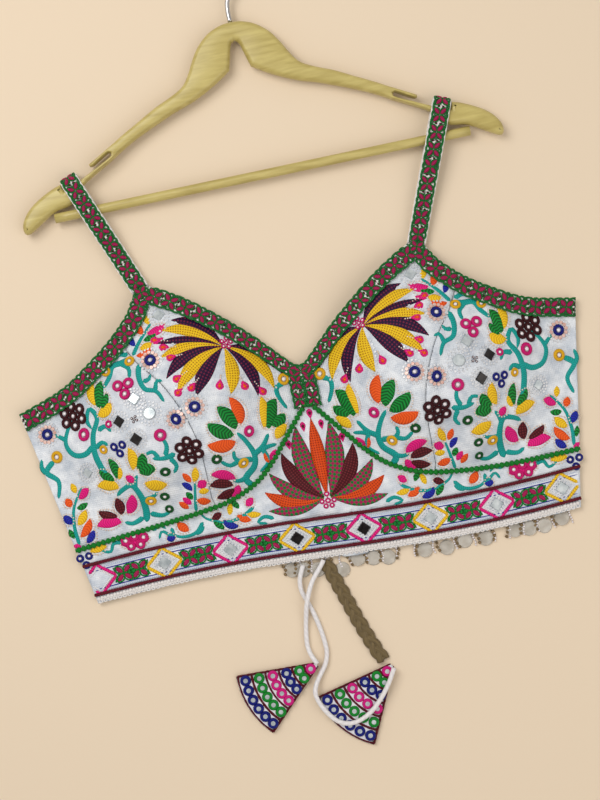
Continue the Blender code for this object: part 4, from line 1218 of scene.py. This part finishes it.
# Both cords are lustrous rayon, with painted shade as the deep tone in their grooves and lighter on the
# strands.
green_cord = thread("green knotted cord", "#0F8A2C", "#075A1A", 1.3)
maroon_cord = thread("maroon twisted cord", "#741228", "#380713", 1.3)
for side, side_name in ((-1, "left"), (1, "right")):
    line = smooth(UNDERBUST, CORD_STEP) * (side, 1)
    route = on_front(np.column_stack([line, np.full(len(line), 1.2)]))
    knots = 0.9 + 1.6 * np.abs(np.sin(math.pi * np.arange(len(route)) * CORD_STEP / BOBBLE_PITCH)) ** 0.8
    bobbles = tube(route, knots, 8)
    piece("green_cord_" + side_name, bobbles, green_cord, ["cup_cord_" + side_name])
for name, y in (("band_cord_top", BAND_TOP), ("band_cord_bottom", BAND_CORD_Y)):
    line = even([(-side_x(y), y), (side_x(y), y)], 0.9)
    route = on_front(np.column_stack([line, np.full(len(line), 1.1)]))
    piece(name + "_twist", tube(route, 1.6, 9, 2, 4.6, 0.42), maroon_cord, [name])

# Mercerised cotton: white knots, each with a little loop below it.
picot, tree, shader = dyed("white picot cotton", "#E9E7E6", 0.7, Sheen_Weight=0.3)
where = put(tree, "ShaderNodeTexCoord").outputs["Object"]
twist = put(tree, "ShaderNodeTexNoise", {"Vector": where, "Scale": 900.0, "Detail": 2.0})
tone = put(tree, "ShaderNodeMix", {0: twist.outputs["Fac"], 6: sRGB("#CFCBCB"), 7: sRGB("#F5F3F2")},
           data_type="RGBA")
tree.links.new(tone.outputs[2], shader.inputs["Base Color"])
lift = put(tree, "ShaderNodeBump", {"Height": twist.outputs["Fac"], "Strength": 0.5, "Distance": 0.0005})
tree.links.new(lift.outputs["Normal"], shader.inputs["Normal"])
knots = [(x, 4.2 + 0.25 * math.sin(x)) for x in np.arange(-HEM_HALF + 1.5, HEM_HALF - 1, KNOT_PITCH)]
set_on_front("picot_knots", "bead", knots, 1.7, picot, "picot", 0.7, flatness=0.75, replaced=["hem_edging"])
hoops = [(x, 1.7 + 0.25 * math.sin(x * 1.3)) for x in np.arange(-HEM_HALF + 2.5, HEM_HALF - 2, LOOP_PITCH)]
set_on_front("picot_loops", "ring", hoops, 1.35, picot, "picot", 0.5, thickness=0.42)
line = even([(-HEM_HALF + 0.5, 2.9), (HEM_HALF - 0.5, 2.9)], 2.0)
piece("picot_braid", laid(filled(line, 4.6, "bar", 1.0)), picot)

# ---------------------------------------------------------------- fringe under the hem
# Big clear sequins and short strings of pearls and tan beads, sewn under the hem of the back, lying on the
# table. Each bunch is one sequin with a string of pearls to its right and one of tan beads to its left.
BUNCHES = [-41, -32, -20, -8, 0, 14, 27, 39, 54, 70, 88, 104, 121, 134, 146, 158, 171, 186]  # x
LONG_BUNCHES, NO_SEQUIN = (2, 3, 4), 3  # the ones that hang lower, and the one in five with no sequin
# Clear polyester, thin and glossy, and lacquered wood, matter and browner.
clear = clouded("clear polyester sequin", "#ECE9E2", "#CFC8BC", 6.0, 0.18, Transmission_Weight=0.45, IOR=1.5,
                Coat_Weight=0.3)
tan_bead = clouded("tan wooden bead", "#8F7752", "#5E4A2C", 4.0, 0.55)
discs, strings, tans = [], [], []
for k, x in enumerate(BUNCHES):
    drop = 7.2 + 1.6 * math.sin(2.1 * k) + (4.5 if k in LONG_BUNCHES else 0)
    hem = -float(sway(x))
    if k % 5 != NO_SEQUIN:
        discs.append((x, -drop + 1.0 + hem, 0.9 + 0.15 * (k % 2)))
    strings += [(x + 7.5 + 0.7 * math.sin(j + k), -1.6 - 2.1 * j + hem, 1.0) for j in range(5)]
    tans += [(x - 6.6 + 1.3 * math.sin(1.4 * j + k), -2.2 - 3.3 * j + hem, 1.3) for j in range(3)]
lean = [(0.16 * math.sin(3.1 * k), 0.12 * math.cos(1.7 * k), 1.0) for k in range(len(discs))]
beaded("fringe_discs", "disc", discs, 6.4, clear, "fringe", flatness=0.1, facings=lean,
       replaced=["hem_fringe"])
beaded("fringe_pearls", "bead", strings, 1.0, pearl, "fringe")
beaded("fringe_tan_beads", "bead", tans, 1.5, tan_bead, "fringe", flatness=0.8)

# ---------------------------------------------------------------- straps
# A doubled ribbon of the same braid with white piping on both edges. Each strap is one loop, from the cup's
# peak over the hanger's arm and down behind it to the back.
STRAP_WIDTH, STRAP, STRAP_FOOT = 14.5, 2.0, (115.0, 243.0)
STRAP_REACH, STRAP_TURN_Y, STRAP_END_CLEAR = 154.5, 343.2, 3.5
STRAP_LANES = 7  # points across the ribbon
HANGER_X, HANGER_THICK, HANGER_LOW = 3.0, 12.0, 2.3
BACK_TOP_X, BACK_TOP_Y = 90.0, 157.5
strap_braid = {part: [] for part in BRAID_THREADS}
for side, side_name in ((-1, "left"), (1, "right")):
    foot = np.array((side * STRAP_FOOT[0], STRAP_FOOT[1] - sway(side * STRAP_FOOT[0])))
    turn = np.array([HANGER_X + side * STRAP_REACH, STRAP_TURN_Y])
    length = float(np.linalg.norm(turn - foot))
    ahead = (turn - foot) / length
    across = np.array([ahead[1], -ahead[0]])
    back_end = -(foot[1] - (BACK_TOP_Y - sway(side * BACK_TOP_X)) - STRAP_END_CLEAR) / ahead[1]
    # The ribbon's line, as (distance from the foot, height): up over the arm, round its edge and back under
    low = STRAP / 2
    high = HANGER_LOW + HANGER_THICK + 0.3 + STRAP / 2
    radius = (high - low) / 2
    foot_height = float(front_level(*np.array(STRAP_FOOT))) - FRONT_CLOTH / 2
    path = [(0.4, foot_height), (34, high - 7.4), (length - 45, high - 2.2)]
    path += [(length - 22, high), (length, high)]
    bend = np.radians(range(60, -61, -30))
    path += [(length + radius * math.cos(a), low + radius + radius * math.sin(a)) for a in bend]
    path += [(length, low), (length / 2, low), (0, low), (back_end, low)]
    path = smooth(path, 2.5)
    along, tangent = lengths(path), directions(path)

    def on_strap(points, foot=foot, ahead=ahead, across=across, path=path, along=along, tangent=tangent):
        """Distance along the ribbon, to its right and out from its middle, as a point."""
        d, t, out = np.array(points, float).T
        s, z, ds, dz = (np.interp(d, along, values) for values in (*path.T, *tangent.T))
        flat = foot + (s - dz * out)[:, None] * ahead + t[:, None] * across
        return np.column_stack([flat, np.maximum(z + ds * out, 0.05)])

    def over_ribbon(points, on_strap=on_strap):
        """The same, from the ribbon's outer face."""
        return on_strap(np.array(points) + (0, 0, 0.7))

    rows, lanes = len(along), np.linspace(-1, 1, STRAP_LANES)
    upper = [(d, STRAP_WIDTH / 2 * t, 0.85 - 0.25 * t * t) for d in along for t in lanes]
    under = [(d, STRAP_WIDTH / 2 * t, -0.75) for d in along for t in lanes]
    ribbon = np.array(upper + under)
    ribbon_shape = (on_strap(ribbon), shell_faces(rows, STRAP_LANES), ribbon[:, :2])
    piece("strap_ribbon_" + side_name, ribbon_shape, tape, ["strap_" + side_name])
    for edge_name, t in (("inner", -1), ("outer", 1)):
        line = np.column_stack([along, np.full(rows, t * (STRAP_WIDTH / 2 - 0.35)), np.zeros(rows)])
        piping = tube(on_strap(line), 0.95, 8, 2, 4.0, 0.3)
        piece(f"strap_piping_{edge_name}_{side_name}", piping, picot)
    seen = float(along[np.argmax(path[:, 0])]) + 3
    braid_stitches(strap_braid, over_ribbon, 0.5, seen, lambda s: 12.6)
for part, shapes in strap_braid.items():
    piece("strap_" + part, gathered(shapes), BRAID_THREADS[part])

# ---------------------------------------------------------------- hanger
# A shaped hanger of pale varnished wood, its arms sawn from board and rounded over, notched near the ends,
# with a round trouser bar and a bent steel hook.
# The right arm's outline: its top, the strap slot, the notch's floor and wall, the rest, and under the hook
HANGER_OUTLINE = [
    [(0, 448), (9, 447), (20, 442.5), (30, 434), (37, 424), (43, 413), (50, 404), (62, 397.5), (75, 392),
     (90, 384), (107, 375), (124, 365), (138, 357.6)],
    [(138, 357.6), (137.4, 355.4), (134.5, 355.6), (121, 363.2), (118.6, 363.4), (118.6, 361.2), (122, 358.6),
     (147.2, 346.4)],
    [(147.2, 346.4), (161.8, 340.9)],
    [(161.8, 340.9), (163.8, 346.5)],
    [(163.8, 346.5), (174, 343), (188, 335.5), (197, 327.5), (201.5, 319), (201, 312.5), (197, 311.5),
     (188, 316.5), (173, 325), (157, 329), (146, 341.5), (119, 357), (96, 369.5), (63, 383.5), (44, 390),
     (25, 399), (9, 409)],
    [(9, 409), (6.5, 418), (4.2, 427), (2.4, 431), (0, 432.3)],
]
BAR_Y, BAR_REACH, BAR_RADIUS, HOOK_WIRE = 320.0, 174.3, 4.0, 4.0
HOOK = [(0, 448.4), (0, 458), (2, 467), (10, 476), (20, 486), (24, 500), (20, 513), (8, 521), (-6, 520),
        (-16, 511), (-19, 499)]
ROUND_OVER = 4.2  # radius of the rounded edges, where the wood is wide enough
ROUND_SHARE = 0.34  # of the wood's width, where it is narrower

# Varnished hardwood: yellow-green sapwood with long fine grain, drawn 4 mm wide so that it shows.
wood, tree, shader = dyed("varnished lotus wood", "#BBA962", 0.42, Coat_Weight=0.25, Coat_Roughness=0.25)
where = put(tree, "ShaderNodeTexCoord").outputs["Object"]
stretch = {"Vector": where, "Scale": (22.0, 150.0, 60.0), "Rotation": (0, 0, 0.1)}
long_way = put(tree, "ShaderNodeMapping", stretch).outputs[0]
grain = put(tree, "ShaderNodeTexNoise", {"Vector": long_way, "Scale": 1.6, "Detail": 5.0, "Distortion": 0.4})
tone = put(tree, "ShaderNodeValToRGB", {"Fac": grain.outputs["Fac"]})
spread_ramp(tone, 0.3, "#AB9A55", 0.7, "#C6B771")
tree.links.new(tone.outputs["Color"], shader.inputs["Base Color"])
lift = put(tree, "ShaderNodeBump", {"Height": grain.outputs["Fac"], "Strength": 0.15, "Distance": 0.0004})
tree.links.new(lift.outputs["Normal"], shader.inputs["Normal"])

half = np.vstack([smooth(part, 2.5)[:-1] for part in HANGER_OUTLINE] + [HANGER_OUTLINE[-1][-1:]])
outline = np.vstack([half, (half * (-1, 1))[-2:0:-1]]) + (HANGER_X, 0)
ahead = np.roll(outline, -1, axis=0)
if (outline[:, 0] * ahead[:, 1] - ahead[:, 0] * outline[:, 1]).sum() < 0:
    outline = outline[::-1]
# Which way is inwards at each point, and how wide the wood is there
edge = np.roll(outline, -1, axis=0) - outline
edge /= np.linalg.norm(edge, axis=1)[:, None]
inward = np.stack([-edge[:, 1], edge[:, 0]], axis=1)
inward = inward + np.roll(inward, 1, axis=0)
inward = 2 * inward / np.maximum((inward**2).sum(1), 1.2)[:, None]
apart = np.linalg.norm(outline[:, None] - outline[None], axis=2)
order = np.arange(len(outline))
steps_between = np.abs(order[:, None] - order[None])
steps_between = np.minimum(steps_between, len(outline) - steps_between)
wide = np.where(steps_between > 6, apart, 99.0).min(1)
round_over = np.minimum(ROUND_OVER, ROUND_SHARE * wide)[:, None]
# The outline again at each height from the underside to the face, drawn in where the edge is rounded
count = len(outline)
middle = HANGER_LOW + HANGER_THICK / 2
layers = []
for angle in np.radians(range(0, 181, 15)):
    height = middle - (HANGER_THICK / 2 - 0.05) * math.cos(angle)
    layer = outline + inward * round_over * (1 - math.sin(angle))
    layers.append(np.column_stack([layer, np.full(count, height)]))
points = np.vstack(layers)
last = (len(layers) - 1) * count
caps = delaunay_2d_cdt([tuple(p) for p in outline], [], [list(range(count))], 1, 1e-7)[2]
faces = ring_faces(len(layers), count)
faces += [tuple(reversed(face)) for face in caps] + [tuple(v + last for v in face) for face in caps]
piece("hanger_arms", (points, faces, points[:, :2]), wood, ["hanger_body"])
bar_line = even([(HANGER_X - BAR_REACH, BAR_Y, middle), (HANGER_X + BAR_REACH, BAR_Y, middle)], 12)
piece("hanger_round_bar", tube(bar_line, BAR_RADIUS, 20), wood, ["hanger_bar"])

# Drawn steel wire: bright metal, lightly brushed along its length.
steel, tree, shader = dyed("bright steel wire", "#C6C6C8", 0.24, Metallic=1.0)
uv = put(tree, "ShaderNodeUVMap").outputs["UV"]
drawn_out = put(tree, "ShaderNodeVectorMath", {0: uv, 1: (0.06, 3.0, 1.0)}, operation="MULTIPLY").outputs[0]
drawn = put(tree, "ShaderNodeTexNoise", {"Vector": drawn_out, "Scale": 1.0, "Detail": 3.0})
gloss = put(tree, "ShaderNodeMapRange", {"Value": drawn.outputs["Fac"], "To Min": 0.16, "To Max": 0.36})
tree.links.new(gloss.outputs[0], shader.inputs["Roughness"])
hook_line = smooth([(HANGER_X + x, y, middle) for x, y in HOOK], 1.6)
tip_taper = np.clip(np.linspace(len(hook_line), 0.5, len(hook_line)) / 1.5, 0.5, 1)
piece("hanger_steel_hook", tube(hook_line, HOOK_WIRE / 2 * tip_taper, 14), steel, ["hanger_hook"])

# ---------------------------------------------------------------- the size
# The box of the finished object, in metres.
low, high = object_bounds()
